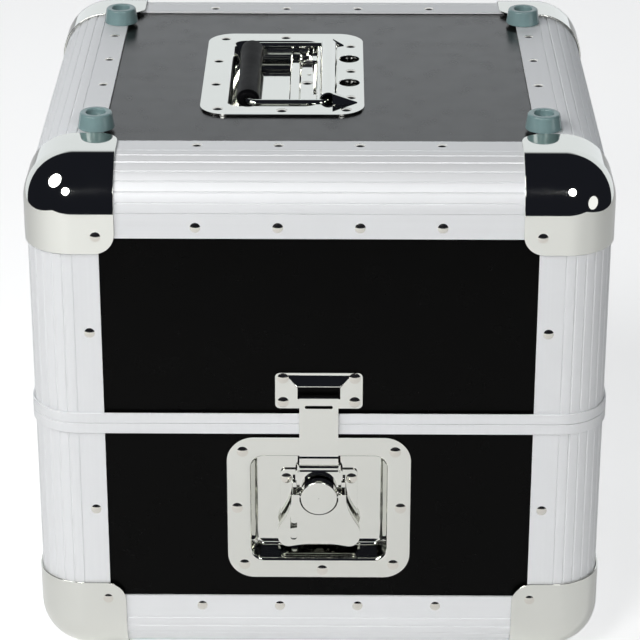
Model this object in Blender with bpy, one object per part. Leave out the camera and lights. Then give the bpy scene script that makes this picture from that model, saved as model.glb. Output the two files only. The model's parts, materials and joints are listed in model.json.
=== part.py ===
"""A record carrying case: black panels in fluted aluminium edges, with a butterfly latch,
two rear hinges and a recessed carrying handle. Metres, +Z up, front towards -Y."""
from math import asin, cos, pi, radians, sin, sqrt

import bmesh
import bpy
from mathutils import Vector

for old in list(bpy.data.objects):
    bpy.data.objects.remove(old, do_unlink=True)

# Driving sizes of the case, over the faces of its edge profiles
CASE_WIDTH = 0.360
CASE_DEPTH = 0.349
CASE_HEIGHT = 0.341
SEAM_HEIGHT = 0.1705
PANEL_THICKNESS = 0.007
SEAT_GAP = 0.0003

# Edge profile: a round back with flutes, two flanges and two inner lips that grip the panels
EDGE_RADIUS = 0.030
EDGE_REACH = 0.046
EDGE_SKIN = 0.0015
EDGE_LIP = 0.0013
EDGE_WEB = 0.0013
FLUTE_COUNT = 7
GROOVE_DEPTH = 0.0006
GROOVE_HALF_WIDTH = 0.0005

# Corner cap: a pressed shell over the three edges that meet
CAP_REACH = 0.056
CAP_SHEET = 0.0012
CAP_FLANGE_RADIUS = 0.013
CAP_SEGMENTS = 6

# Closing rings at the seam, with a tongue below and a groove above
RING_HEIGHT = 0.007
RING_PROUD = 0.0015
RING_SHEET = 0.0013
RING_INNER_HEIGHT = 0.014
TONGUE_CENTRE = 0.005
TONGUE_WIDTH = 0.003
TONGUE_HEIGHT = 0.0024
TONGUE_TAPER = 0.0003
TONGUE_CLEARANCE = 0.0004
RING_SEGMENTS = 6

# Rubber feet, the same below and on the lid
FOOT_HEIGHT = 0.010
FOOT_RADIUS = 0.0115
FOOT_TOP_RADIUS = 0.0100
FOOT_EDGE = 0.0012
FOOT_HOLE_RADIUS = 0.0060
FOOT_FLOOR = 0.003
FOOT_SIDE_INSET = 0.041
FOOT_END_INSET = 0.0695
FOOT_SEGMENTS = 16

# Latch dish, pressed into the front panel of the body
LATCH_DROP = 0.0605
LATCH_DISH_WIDTH = 0.116
LATCH_DISH_HEIGHT = 0.1005
LATCH_DISH_RADIUS = 0.017
LATCH_RECESS_WIDTH = 0.0865
LATCH_RECESS_HEIGHT = 0.0738
LATCH_RECESS_RADIUS = 0.0085
LATCH_RECESS_DEPTH = 0.014
LATCH_RECESS_DRAFT = 0.0035
DISH_SHEET = 0.0012
DISH_BEND = 0.0015
DISH_SEGMENTS = 6
CUTOUT_CLEARANCE = 0.0006

# Latch base bracket with the two guides of the pull plate
BRACKET_WIDTH = 0.049
BRACKET_RISE = 0.0145
BRACKET_FALL = 0.026
BRACKET_SHEET = 0.0012
BRACKET_CORNER = 0.003
GUIDE_RISE = 0.008
GUIDE_FALL = 0.003
GUIDE_WALL = 0.0015
GUIDE_LIP = 0.0012
GUIDE_LIP_REACH = 0.0012

# Drum with its eccentric, and the pull plate that the eccentric lifts
DRUM_DROP = 0.0538
DRUM_RADIUS = 0.0115
DRUM_EDGE = 0.0006
DRUM_FRONT_DEPTH = 0.0006
DRUM_LENGTH = 0.0064
DRUM_NECK_RADIUS = 0.0048
DRUM_NECK_LENGTH = 0.0010
ECCENTRIC_RADIUS = 0.0075
ECCENTRIC_LENGTH = 0.0032
ECCENTRIC_OFFSET = 0.0020
DRUM_SEGMENTS = 24
PULL_WIDTH = 0.030
PULL_SHEET = 0.0015
PULL_MARGIN = 0.003
PULL_EAR = 0.0021
PULL_EAR_RADIUS = 0.0034
PULL_EAR_RISE = 0.0137

# Butterfly wing, folded down on its trunnions
FOLD_DEPTH = 0.0046
TRUNNION_RADIUS = 0.0015
TRUNNION_END = 0.0136
WING_KNUCKLE_RADIUS = 0.0026
WING_KNUCKLE_START = 0.0123
WING_KNUCKLE_END = 0.0139
WING_SHEET = 0.0015
WING_HALF_WIDTH = 0.0263
WING_REACH = 0.0352
WING_NOTCH_RADIUS = 0.0126
WING_TOP_RISE = 0.0018
WING_FLANGE_DEPTH = 0.005
WING_SLOT_OFFSET = 0.0160
WING_SLOT_WIDTH = 0.0043
WING_SLOT_LENGTH = 0.0175
WING_SLOT_DROP = 0.0217

# Hook plate, on a pin between the ears of the pull plate
HOOK_WIDTH = 0.0243
HOOK_SHEET = 0.0015
HOOK_OFF_RING = 0.0005
HOOK_PIN_DEPTH = 0.0036
HOOK_PIN_RISE = 0.0213
HOOK_PIN_RADIUS = 0.0016
HOOK_EYE_RADIUS = 0.0034
HOOK_CRANK_RISE = 0.0050
HOOK_LENGTH = 0.0518
HOOK_SLOT_DROP = 0.0056
HOOK_SLOT_WIDTH = 0.0174
HOOK_SLOT_HEIGHT = 0.0021

# Keeper on the lid, with a hooded window for the hook
KEEPER_WIDTH = 0.0544
KEEPER_HEIGHT = 0.0244
KEEPER_RISE = 0.0223
KEEPER_SHEET = 0.0012
KEEPER_CORNER = 0.003
WINDOW_HALF_WIDTH = 0.0143
WINDOW_BOTTOM_RISE = 0.0064
WINDOW_TOP_RISE = 0.0160
HOOD_TOP_RISE = 0.0210
HOOD_TOP_HALF_WIDTH = 0.0190
HOOD_PROUD = 0.0030

# Rear hinges
HINGE_SIDE_INSET = 0.080
HINGE_STAND_OFF = 0.0062
HINGE_KNUCKLE_RADIUS = 0.0040
HINGE_PIN_RADIUS = 0.0020
HINGE_PIN_CLEARANCE = 0.0003
HINGE_WIDTH = 0.050
HINGE_MIDDLE = 0.018
HINGE_LEAF_LENGTH = 0.044
HINGE_CRANK_START = 0.0095
HINGE_CRANK_END = 0.0155
HINGE_SHEET = 0.0015
HINGE_SEGMENTS = 16

# Handle dish, off centre so that the raised grip stands over the middle of the case
HANDLE_DISH_LEFT = -0.0765
HANDLE_DISH_RIGHT = 0.0280
HANDLE_DISH_LENGTH = 0.1604
HANDLE_DISH_RADIUS = 0.0175
HANDLE_SHEET = 0.0012
HANDLE_RECESS_LEFT = -0.0590
HANDLE_RECESS_RIGHT = -0.0025
HANDLE_RECESS_LENGTH = 0.128
HANDLE_RECESS_RADIUS = 0.008
HANDLE_RECESS_DEPTH = 0.0105
HANDLE_RECESS_DRAFT = 0.0020
PIVOT_X = 0.005
PIVOT_DEPTH = 0.0010
BAIL_RADIUS = 0.00225
BAIL_BEND = 0.006
BAIL_ARM_Y = 0.057
BAIL_GRIP_X = -0.0465
BAIL_STUB = 0.030
HOOD_RADIUS = 0.0058
CONE_RADIUS = 0.0070
CONE_TIP_RADIUS = 0.0014
CONE_TIP_X = 0.0235
HOOD_HALF_LENGTH = 0.0535
ARM_CLEARANCE = 0.0005
GRIP_WIDTH = 0.0150
GRIP_HEIGHT = 0.013
GRIP_LENGTH = 0.104

# Bracket in the handle recess, whose two tongues carry the bail
REST_LEFT = -0.0205
REST_RIGHT = -0.0048
REST_HALF_LENGTH = 0.054
REST_DEPTH = 0.0076
REST_SHEET = 0.0012
REST_BEAD = 0.0016
REST_BEAD_WIDTH = 0.006
REST_TONGUE_Y = 0.041
REST_TONGUE_SPAN = 0.014
SLOT_CLEARANCE = 0.0006

# Shapes given as shares of the sizes above
WING_OUTLINE_SHARES = (
    (0.655, 0.00), (0.665, 0.10), (0.690, 0.20), (0.745, 0.32), (0.850, 0.47), (0.955, 0.60),
    (1.000, 0.70), (1.000, 0.80), (0.955, 0.90), (0.860, 0.975), (0.740, 1.00), (0.600, 0.985),
    (0.300, 0.955),
)
WING_FLANGE_SKIP_COUNT = 2
WING_FLANGE_POINT_COUNT = 5
SLOT_ROUND_SHARE = 0.93
PULL_SLIP_SHARE = 0.211
HOOD_WALL_SHARE = 0.8
EYE_BLEND_SHARE = 0.8
CRANK_SHEET_SHARE = 0.33
GRIP_RING_SHARES = ((-1.0, 0.62), (-0.985, 0.80), (-0.94, 0.94), (-0.86, 1.0), (0.0, 0.96),
                    (0.86, 1.0), (0.94, 0.94), (0.985, 0.80), (1.0, 0.62))

# Angles, and how many flats stand for a curve
SHARP_ANGLE = radians(32)
FOOT_SHARP_ANGLE = radians(50)
EYE_BLEND_ANGLE = radians(25)
CURL_END_ANGLE = radians(-20)
EDGE_WALL_SEGMENTS = 5
PLATE_CORNER_SEGMENTS = 3
PIN_SEGMENTS = 12
EYE_SEGMENTS = 16
NOTCH_SEGMENTS = 12
WINDOW_SEGMENTS = 6
HOOD_SEGMENTS = 20
BAIL_SEGMENTS = 10
BAIL_BEND_SEGMENTS = 4
GRIP_SEGMENTS = 18

# Worked out from the sizes above
HALF_WIDTH = CASE_WIDTH / 2
HALF_DEPTH = CASE_DEPTH / 2
BASE_Z = FOOT_HEIGHT + SEAT_GAP
SEAM_Z = BASE_Z + SEAM_HEIGHT
TOP_Z = BASE_Z + CASE_HEIGHT
PANEL_FACE = EDGE_SKIN + SEAT_GAP
SLOT_WIDTH = PANEL_THICKNESS + 2 * SEAT_GAP
LIP_FACE = EDGE_SKIN + SLOT_WIDTH
LIP_BACK = LIP_FACE + EDGE_LIP
PANEL_EDGE = EDGE_RADIUS + SEAT_GAP
EDGE_END = EDGE_REACH + SEAT_GAP
RING_BACK = LIP_BACK + SEAT_GAP + RING_SHEET
RING_WEB = SEAT_GAP / 2 + RING_SHEET
GROOVE_HALF = TONGUE_WIDTH / 2 + TONGUE_CLEARANCE
GROOVE_TOP = SEAT_GAP / 2 + TONGUE_HEIGHT + TONGUE_CLEARANCE
LID_EDGE = GROOVE_TOP + RING_SHEET + SEAT_GAP
BODY_EDGE = RING_WEB + SEAT_GAP
LATCH_Z = SEAM_Z - LATCH_DROP
DRUM_Z = SEAM_Z - DRUM_DROP
LATCH_FACE = PANEL_FACE - SEAT_GAP - DISH_SHEET
LATCH_FLOOR = LATCH_FACE + LATCH_RECESS_DEPTH
BRACKET_BACK = LATCH_FLOOR - SEAT_GAP
BRACKET_FACE = BRACKET_BACK - BRACKET_SHEET
DRUM_BACK = DRUM_FRONT_DEPTH + DRUM_LENGTH
ECCENTRIC_FRONT = DRUM_BACK + DRUM_NECK_LENGTH
ECCENTRIC_BACK = ECCENTRIC_FRONT + ECCENTRIC_LENGTH
PULL_SLIP = ECCENTRIC_OFFSET * PULL_SLIP_SHARE
PULL_FRONT = (ECCENTRIC_FRONT + ECCENTRIC_BACK - PULL_SHEET) / 2
PULL_BACK = PULL_FRONT + PULL_SHEET
HOOK_PIN_Z = DRUM_Z + HOOK_PIN_RISE
HOOK_BACK = -RING_PROUD - HOOK_OFF_RING
HOOK_FRONT = HOOK_BACK - HOOK_SHEET
HOOK_TOP_Z = HOOK_PIN_Z + HOOK_LENGTH
KEEPER_BACK = PANEL_FACE - SEAT_GAP
KEEPER_FACE = KEEPER_BACK - KEEPER_SHEET
KEEPER_Z = SEAM_Z + KEEPER_RISE
HANDLE_FACE = PANEL_FACE - SEAT_GAP - HANDLE_SHEET
HANDLE_FLOOR = HANDLE_FACE + HANDLE_RECESS_DEPTH
CONE_MOUTH_X = PIVOT_X + BAIL_RADIUS + ARM_CLEARANCE
HINGE_Y = HALF_DEPTH + HINGE_STAND_OFF
HINGE_OFFSET_X = HALF_WIDTH - HINGE_SIDE_INSET
FRONT_REACH = HOOD_PROUD - KEEPER_FACE
REAR_REACH = HINGE_STAND_OFF + HINGE_KNUCKLE_RADIUS
OVERRUN = 0.002

# The case stands so that the middle of its whole length, hardware included, is over the origin
PLAN_SHIFT = (max(FRONT_REACH, -HOOK_FRONT) - REAR_REACH) / 2

# Joint axes, in the case's own frame
LID_AXIS = Vector((0, HINGE_Y, SEAM_Z))
HANDLE_AXIS = Vector((PIVOT_X, 0, TOP_Z - PIVOT_DEPTH))
DRUM_AXIS = Vector((0, DRUM_FRONT_DEPTH - HALF_DEPTH, DRUM_Z))
WING_AXIS = Vector((0, FOLD_DEPTH - HALF_DEPTH, DRUM_Z))
HOOK_AXIS = Vector((0, HOOK_PIN_DEPTH - HALF_DEPTH, HOOK_PIN_Z))
PULL_AXIS = Vector((0, PULL_FRONT - HALF_DEPTH, DRUM_Z))


def finish(name, colour, roughness, metallic):
    """A plain finish with the colour, roughness and metallic value of one kind of surface."""
    made = bpy.data.materials.new(name)
    made.use_nodes = True
    shader = made.node_tree.nodes["Principled BSDF"]
    shader.inputs["Base Color"].default_value = (*colour, 1.0)
    shader.inputs["Roughness"].default_value = roughness
    shader.inputs["Metallic"].default_value = metallic
    made.diffuse_color = (*colour, 1.0)
    return made


FINISHES = {
    "laminate": ((0.012, 0.012, 0.011), 0.22, 0.0),
    "aluminium": ((0.80, 0.81, 0.82), 0.35, 0.9),
    "chrome": ((0.86, 0.85, 0.82), 0.08, 1.0),
    "rubber": ((0.22, 0.31, 0.30), 0.45, 0.0),
    "grip": ((0.015, 0.015, 0.015), 0.40, 0.0),
}


def carrier(name, at, parent=None):
    """An empty on a joint's axis, which carries the pieces of one moving part."""
    empty = bpy.data.objects.new(name, None)
    bpy.context.scene.collection.objects.link(empty)
    start = Vector((0, 0, 0))
    if parent is not None:
        empty.parent = parent
        start = Vector(parent["case_point"])
    empty.location = at - start
    empty["case_point"] = tuple(at)
    return empty


def add_mesh(name, mesh, kind, parent, at, turn=(0, 0, 0)):
    """One piece from a mesh that is already about its own origin."""
    piece = bpy.data.objects.new(name, mesh)
    bpy.context.scene.collection.objects.link(piece)
    colour, roughness, metallic = FINISHES[kind]
    if not mesh.materials:
        mesh.materials.append(finish(name, colour, roughness, metallic))
    else:
        piece.material_slots[0].link = "OBJECT"
        piece.material_slots[0].material = finish(name, colour, roughness, metallic)
    piece.parent = parent
    piece.location = Vector(at) - Vector(parent["case_point"])
    piece.rotation_euler = turn
    return piece


def add_piece(name, shape, kind, parent, at=None):
    """One piece from a bmesh drawn in the case's frame. Its origin goes to the given point."""
    origin = Vector(parent["case_point"]) if at is None else Vector(at)
    bmesh.ops.translate(shape, verts=shape.verts, vec=-origin)
    mesh = bpy.data.meshes.new(name)
    shape.to_mesh(mesh)
    shape.free()
    mesh.shade_smooth()
    mesh.set_sharp_from_angle(angle=SHARP_ANGLE)
    return add_mesh(name, mesh, kind, parent, origin)


def tool(piece, shape, operation="DIFFERENCE"):
    """Cuts a shape, drawn in the case's frame, from a piece, or joins it on."""
    mesh = bpy.data.meshes.new(piece.name + "_tool")
    shape.to_mesh(mesh)
    shape.free()
    body = bpy.data.objects.new(mesh.name, mesh)
    bpy.context.scene.collection.objects.link(body)
    body.parent = CASE
    body.display_type = "WIRE"
    body.hide_render = True
    change = piece.modifiers.new(operation.title(), "BOOLEAN")
    change.operation = operation
    change.object = body
    change.solver = "EXACT"


def arc(centre, radius, start, end, segments):
    """Points along an arc, both ends included; angles in radians."""
    return [
        (centre[0] + radius * cos(start + (end - start) * step / segments),
         centre[1] + radius * sin(start + (end - start) * step / segments))
        for step in range(segments + 1)
    ]


def circle(centre, radius, segments):
    return arc(centre, radius, 0, 2 * pi * (segments - 1) / segments, segments - 1)


def rounded_rectangle(left, right, low, high, radius, segments):
    """The outline of a rectangle with round corners, anticlockwise."""
    outline = []
    for number, (u, v) in enumerate((
        (right - radius, high - radius), (left + radius, high - radius),
        (left + radius, low + radius), (right - radius, low + radius),
    )):
        start = number * pi / 2
        outline += arc((u, v), radius, start, start + pi / 2, segments)
    return outline


def on_front(u, v, depth):
    """A point given by its place across, its height and its depth behind the front faces."""
    return Vector((u, depth - HALF_DEPTH, v))


def on_rear(u, v, depth):
    return Vector((u, HALF_DEPTH - depth, v))


def on_top(u, v, depth):
    return Vector((u, v, TOP_Z - depth))


def across(length_at, depth, height):
    """A point of a section in the front's depth and height, at a place across the case."""
    return Vector((length_at, depth - HALF_DEPTH, height))


def outward(shape):
    """Turns the faces of a closed body outwards."""
    if shape.calc_volume(signed=True) < 0:
        bmesh.ops.reverse_faces(shape, faces=shape.faces)
    return shape


def loft(loops):
    """A closed body through outlines of equal count, with its two ends filled."""
    shape = bmesh.new()
    rows = [[shape.verts.new(point) for point in loop] for loop in loops]
    for row, following in zip(rows, rows[1:]):
        for index in range(len(row)):
            after = (index + 1) % len(row)
            shape.faces.new((row[index], row[after], following[after], following[index]))
    shape.faces.new(reversed(rows[0]))
    shape.faces.new(rows[-1])
    return outward(shape)


def prism(outline, start, end, place):
    """An outline carried straight from one place to another along the third direction."""
    return loft([[place(u, v, level) for u, v in outline] for level in (start, end)])


def bar(outline, start, end, place):
    """An outline of two other directions carried along the case's width."""
    return loft([[place(level, u, v) for u, v in outline] for level in (start, end)])


def rod(centre, radius, start, end, segments, place):
    return bar(circle(centre, radius, segments), start, end, place)


def block(low, high):
    """A plain block between two opposite corners."""
    shape = bmesh.new()
    bmesh.ops.create_cube(shape, size=1)
    for vert in shape.verts:
        vert.co = Vector(high[k] if vert.co[k] > 0 else low[k] for k in range(3))
    return outward(shape)


# The case stands on the shifted middle; the lid and the handle turn about their axes
CASE = carrier("case", Vector((0, 0, 0)))
CASE.location = (0, PLAN_SHIFT, 0)
LID = carrier("lid_axis", LID_AXIS, CASE)
HANDLE = carrier("handle_axis", HANDLE_AXIS, LID)
DRUM = carrier("drum_axis", DRUM_AXIS, CASE)
WING = carrier("wing_axis", WING_AXIS, DRUM)
PULL = carrier("pull_plate_guide", PULL_AXIS, CASE)
HOOK = carrier("hook_axis", HOOK_AXIS, PULL)


# Panels
def make_panels():
    """Ten plain panels, whose edges stand in the slots of the profiles and the rings."""
    span_x = HALF_WIDTH - PANEL_EDGE
    span_y = HALF_DEPTH - PANEL_EDGE
    face, back = PANEL_FACE, PANEL_FACE + PANEL_THICKNESS
    made = {}
    for half, parent, low, high in (
        ("body", CASE, BASE_Z + PANEL_EDGE, SEAM_Z - BODY_EDGE),
        ("lid", LID, SEAM_Z + LID_EDGE, TOP_Z - PANEL_EDGE),
    ):
        sides = {
            "front": ((-span_x, face - HALF_DEPTH, low), (span_x, back - HALF_DEPTH, high)),
            "rear": ((-span_x, HALF_DEPTH - back, low), (span_x, HALF_DEPTH - face, high)),
            "left": ((face - HALF_WIDTH, -span_y, low), (back - HALF_WIDTH, span_y, high)),
            "right": ((HALF_WIDTH - back, -span_y, low), (HALF_WIDTH - face, span_y, high)),
        }
        for side, (near, far) in sides.items():
            name = f"{half}_{side}_panel"
            made[name] = add_piece(name, block(near, far), "laminate", parent)
    made["bottom_panel"] = add_piece(
        "bottom_panel",
        block((-span_x, -span_y, BASE_Z + face), (span_x, span_y, BASE_Z + back)),
        "laminate", CASE)
    made["lid_top_panel"] = add_piece(
        "lid_top_panel",
        block((-span_x, -span_y, TOP_Z - back), (span_x, span_y, TOP_Z - face)),
        "laminate", LID)
    return made


# Edge profiles
def edge_outline():
    """The section of an edge profile, in the distances from the two outer faces it joins."""
    half = GROOVE_HALF_WIDTH / EDGE_RADIUS
    middle = (EDGE_RADIUS, EDGE_RADIUS)
    outline = [(0, EDGE_REACH)]
    for groove in range(FLUTE_COUNT + 1):
        angle = pi + pi / 2 * groove / FLUTE_COUNT
        for turn, depth in ((-half, 0), (0, GROOVE_DEPTH), (half, 0)):
            outline += arc(middle, EDGE_RADIUS - depth, angle + turn, angle + turn, 1)[:1]
    outline += [
        (EDGE_REACH, 0), (EDGE_REACH, EDGE_SKIN), (EDGE_RADIUS, EDGE_SKIN),
        (EDGE_RADIUS, LIP_FACE), (EDGE_REACH, LIP_FACE), (EDGE_REACH, LIP_BACK),
    ]
    outline += arc(middle, EDGE_RADIUS - LIP_BACK, 3 * pi / 2, pi, EDGE_WALL_SEGMENTS)
    outline += [
        (LIP_BACK, EDGE_REACH), (LIP_FACE, EDGE_REACH), (LIP_FACE, EDGE_RADIUS),
        (EDGE_SKIN, EDGE_RADIUS), (EDGE_SKIN, EDGE_REACH),
    ]
    return outline


def edge_hollow():
    """The hollow behind the round back, between the two webs that stop the panels."""
    middle = (EDGE_RADIUS, EDGE_RADIUS)
    far = EDGE_RADIUS - EDGE_SKIN - GROOVE_DEPTH
    near = EDGE_RADIUS - LIP_BACK + EDGE_LIP
    far_web, near_web = asin(EDGE_WEB / far), asin(EDGE_WEB / near)
    hollow = arc(middle, far, pi + far_web, 3 * pi / 2 - far_web, EDGE_WALL_SEGMENTS)
    return hollow + arc(middle, near, 3 * pi / 2 - near_web, pi + near_web,
                        EDGE_WALL_SEGMENTS)


def make_edge(name, parent, place, start, end):
    """An extruded profile with its hollow open at both ends."""
    piece = add_piece(name, prism(edge_outline(), start, end, place), "aluminium", parent)
    tool(piece, prism(edge_hollow(), start - OVERRUN, end + OVERRUN, place))


def make_edges():
    """Eight level profiles and eight uprights, which stop inside the caps and the rings."""
    run_x = HALF_WIDTH - EDGE_END
    run_y = HALF_DEPTH - EDGE_END
    for half, parent, face, up in (("body", CASE, BASE_Z, 1), ("lid", LID, TOP_Z, -1)):
        for side, sign in (("front", -1), ("rear", 1)):
            def place(u, v, level, sign=sign, face=face, up=up):
                return Vector((level, sign * (HALF_DEPTH - u), face + up * v))
            make_edge(f"{half}_{side}_edge", parent, place, -run_x, run_x)
        for side, sign in (("left", -1), ("right", 1)):
            def place(u, v, level, sign=sign, face=face, up=up):
                return Vector((sign * (HALF_WIDTH - u), level, face + up * v))
            make_edge(f"{half}_{side}_edge", parent, place, -run_y, run_y)
    for half, parent, low, high in (
        ("body", CASE, BASE_Z + EDGE_END, SEAM_Z - BODY_EDGE),
        ("lid", LID, SEAM_Z + LID_EDGE, TOP_Z - EDGE_END),
    ):
        for end, along in (("front", -1), ("rear", 1)):
            for side, sign in (("left", -1), ("right", 1)):
                def place(u, v, level, sign=sign, along=along):
                    return Vector((sign * (HALF_WIDTH - u), along * (HALF_DEPTH - v), level))
                make_edge(f"{half}_{end}_{side}_upright", parent, place, low, high)


# Corner caps
def rounded_corner(start, reach, radius, near):
    """A cube whose three edges at its near or its far corner are rounded."""
    shape = block((start,) * 3, (reach,) * 3)
    corner = min(shape.verts, key=lambda v: sum(v.co)) if near else max(
        shape.verts, key=lambda v: sum(v.co))
    bmesh.ops.bevel(shape, geom=list(corner.link_edges), offset=radius,
                    segments=CAP_SEGMENTS, profile=0.5, affect="EDGES")
    return shape


def plain_object(name, shape):
    mesh = bpy.data.meshes.new(name)
    shape.to_mesh(mesh)
    shape.free()
    made = bpy.data.objects.new(name, mesh)
    bpy.context.scene.collection.objects.link(made)
    return made


def cap_mesh():
    """The pressed corner: a rounded shell, trimmed to three flanges with round corners."""
    inner = -SEAT_GAP
    outer = inner - CAP_SHEET
    whole = plain_object("cap", rounded_corner(outer, CAP_REACH + OVERRUN,
                                               EDGE_RADIUS - outer, True))
    hollow = plain_object("cap_hollow", rounded_corner(inner, CAP_REACH + 2 * OVERRUN,
                                                       EDGE_RADIUS - inner, True))
    trim = plain_object("cap_trim", rounded_corner(outer - OVERRUN, CAP_REACH,
                                                   CAP_FLANGE_RADIUS, False))
    for operation, body in (("DIFFERENCE", hollow), ("INTERSECT", trim)):
        change = whole.modifiers.new(operation.title(), "BOOLEAN")
        change.operation = operation
        change.object = body
    bpy.context.view_layer.update()
    solved = whole.evaluated_get(bpy.context.evaluated_depsgraph_get())
    mesh = bpy.data.meshes.new_from_object(solved)
    for used in (whole, hollow, trim):
        bpy.data.objects.remove(used)
    mesh.shade_smooth()
    mesh.set_sharp_from_angle(angle=SHARP_ANGLE)
    return mesh


def make_caps():
    """Eight caps from one mesh, each turned onto its own corner."""
    mesh = cap_mesh()
    for half, parent, height, flip in (("body", CASE, BASE_Z, 0), ("lid", LID, TOP_Z, pi)):
        for end, along in (("front", -1), ("rear", 1)):
            for side, sign in (("left", -1), ("right", 1)):
                quarter = {(-1, -1): 0, (1, -1): 1, (1, 1): 2, (-1, 1): 3}[(sign, along)]
                if flip:
                    quarter = {(-1, 1): 0, (-1, -1): 1, (1, -1): 2, (1, 1): 3}[(sign, along)]
                at = (sign * HALF_WIDTH, along * HALF_DEPTH, height)
                add_mesh(f"{half}_{end}_{side}_cap", mesh, "chrome", parent, at,
                         (flip, 0, quarter * pi / 2))


# Closing rings
def make_ring(name, parent, section):
    """A section carried round the case's plan, with round corners like the uprights'."""
    shape = bmesh.new()
    rows = []
    for number, (sign, along) in enumerate(((1, 1), (-1, 1), (-1, -1), (1, -1))):
        middle = (sign * (HALF_WIDTH - EDGE_RADIUS), along * (HALF_DEPTH - EDGE_RADIUS))
        for step in range(RING_SEGMENTS + 1):
            angle = (number + step / RING_SEGMENTS) * pi / 2
            rows.append([
                shape.verts.new((middle[0] + (EDGE_RADIUS - inward) * cos(angle),
                                 middle[1] + (EDGE_RADIUS - inward) * sin(angle),
                                 SEAM_Z + height))
                for inward, height in section
            ])
    for index, row in enumerate(rows):
        following = rows[(index + 1) % len(rows)]
        for point in range(len(section)):
            after = (point + 1) % len(section)
            shape.faces.new((row[point], row[after], following[after], following[point]))
    return add_piece(name, outward(shape), "aluminium", parent)


def make_rings():
    """The lower ring carries the tongue. The upper one carries the groove that takes it."""
    face = SEAT_GAP / 2
    slot_front = -SEAT_GAP
    slot_back = LIP_BACK + SEAT_GAP
    tongue = TONGUE_WIDTH / 2
    tip = tongue - TONGUE_TAPER
    make_ring("body_ring", CASE, (
        (-RING_PROUD, -RING_HEIGHT), (-RING_PROUD, -face), (TONGUE_CENTRE - tongue, -face),
        (TONGUE_CENTRE - tip, TONGUE_HEIGHT), (TONGUE_CENTRE + tip, TONGUE_HEIGHT),
        (TONGUE_CENTRE + tongue, -face), (RING_BACK, -face), (RING_BACK, -RING_INNER_HEIGHT),
        (slot_back, -RING_INNER_HEIGHT), (slot_back, -RING_WEB), (slot_front, -RING_WEB),
        (slot_front, -RING_HEIGHT),
    ))
    wall = GROOVE_HALF + RING_SHEET
    make_ring("lid_ring", LID, (
        (-RING_PROUD, RING_HEIGHT), (slot_front, RING_HEIGHT), (slot_front, RING_WEB),
        (TONGUE_CENTRE - wall, RING_WEB), (TONGUE_CENTRE - wall, GROOVE_TOP + RING_SHEET),
        (TONGUE_CENTRE + wall, GROOVE_TOP + RING_SHEET), (TONGUE_CENTRE + wall, RING_WEB),
        (slot_back, RING_WEB), (slot_back, RING_INNER_HEIGHT), (RING_BACK, RING_INNER_HEIGHT),
        (RING_BACK, face), (TONGUE_CENTRE + GROOVE_HALF, face),
        (TONGUE_CENTRE + GROOVE_HALF, GROOVE_TOP), (TONGUE_CENTRE - GROOVE_HALF, GROOVE_TOP),
        (TONGUE_CENTRE - GROOVE_HALF, face), (-RING_PROUD, face),
    ))


# Feet
def foot_mesh():
    """A turned rubber foot with a blind hole for its screw, standing on its base."""
    rings = (
        (FOOT_HOLE_RADIUS, FOOT_FLOOR), (FOOT_HOLE_RADIUS, FOOT_HEIGHT - FOOT_EDGE),
        (FOOT_HOLE_RADIUS + FOOT_EDGE / 2, FOOT_HEIGHT),
        (FOOT_TOP_RADIUS - FOOT_EDGE, FOOT_HEIGHT), (FOOT_TOP_RADIUS, FOOT_HEIGHT - FOOT_EDGE),
        (FOOT_RADIUS, FOOT_EDGE), (FOOT_RADIUS - FOOT_EDGE / 2, 0),
    )
    shape = loft([[(u, v, height) for u, v in circle((0, 0), radius, FOOT_SEGMENTS)]
                  for radius, height in rings])
    mesh = bpy.data.meshes.new("foot")
    shape.to_mesh(mesh)
    shape.free()
    mesh.shade_smooth()
    mesh.set_sharp_from_angle(angle=FOOT_SHARP_ANGLE)
    return mesh


def make_feet():
    """Four feet under the body and four on the lid, just inside the caps."""
    mesh = foot_mesh()
    for half, parent, height, flip in (("body", CASE, BASE_Z - SEAT_GAP, pi),
                                       ("lid", LID, TOP_Z + SEAT_GAP, 0)):
        for end, along in (("front", -1), ("rear", 1)):
            for side, sign in (("left", -1), ("right", 1)):
                at = (sign * (HALF_WIDTH - FOOT_SIDE_INSET),
                      along * (HALF_DEPTH - FOOT_END_INSET), height)
                add_mesh(f"{half}_{end}_{side}_foot", mesh, "rubber", parent, at, (flip, 0, 0))


# Pressed dishes
def dish(flange, recess, face, depth, draft, sheet, place):
    """A dish pressed from sheet: a flat flange, a rolled rim, drawn walls and a floor."""
    flange_left, flange_right, flange_low, flange_high, flange_radius = flange
    left, right, low, high, radius = recess

    def level(inset, at):
        outline = rounded_rectangle(left + inset, right - inset, low + inset, high - inset,
                                    radius - inset, DISH_SEGMENTS)
        return [place(u, v, face + at) for u, v in outline]

    def rim(at):
        outline = rounded_rectangle(flange_left, flange_right, flange_low, flange_high,
                                    flange_radius, DISH_SEGMENTS)
        return [place(u, v, face + at) for u, v in outline]

    back = depth + sheet
    return loft([
        level(draft + DISH_BEND, depth), level(draft, depth - DISH_BEND), level(0, DISH_BEND),
        level(-DISH_BEND, 0), rim(0), rim(sheet), level(-DISH_BEND, sheet),
        level(-sheet, DISH_BEND + sheet / 2), level(draft - sheet, back - DISH_BEND),
        level(draft + DISH_BEND / 2, back),
    ])


def cutout(recess, sheet, place, depth_from, depth_to):
    """The hole that a dish needs in the panel that carries it."""
    left, right, low, high, radius = recess
    room = DISH_BEND + sheet + CUTOUT_CLEARANCE
    outline = rounded_rectangle(left - room, right + room, low - room, high + room,
                                radius + room, DISH_SEGMENTS)
    return prism(outline, depth_from, depth_to, place)


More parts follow.
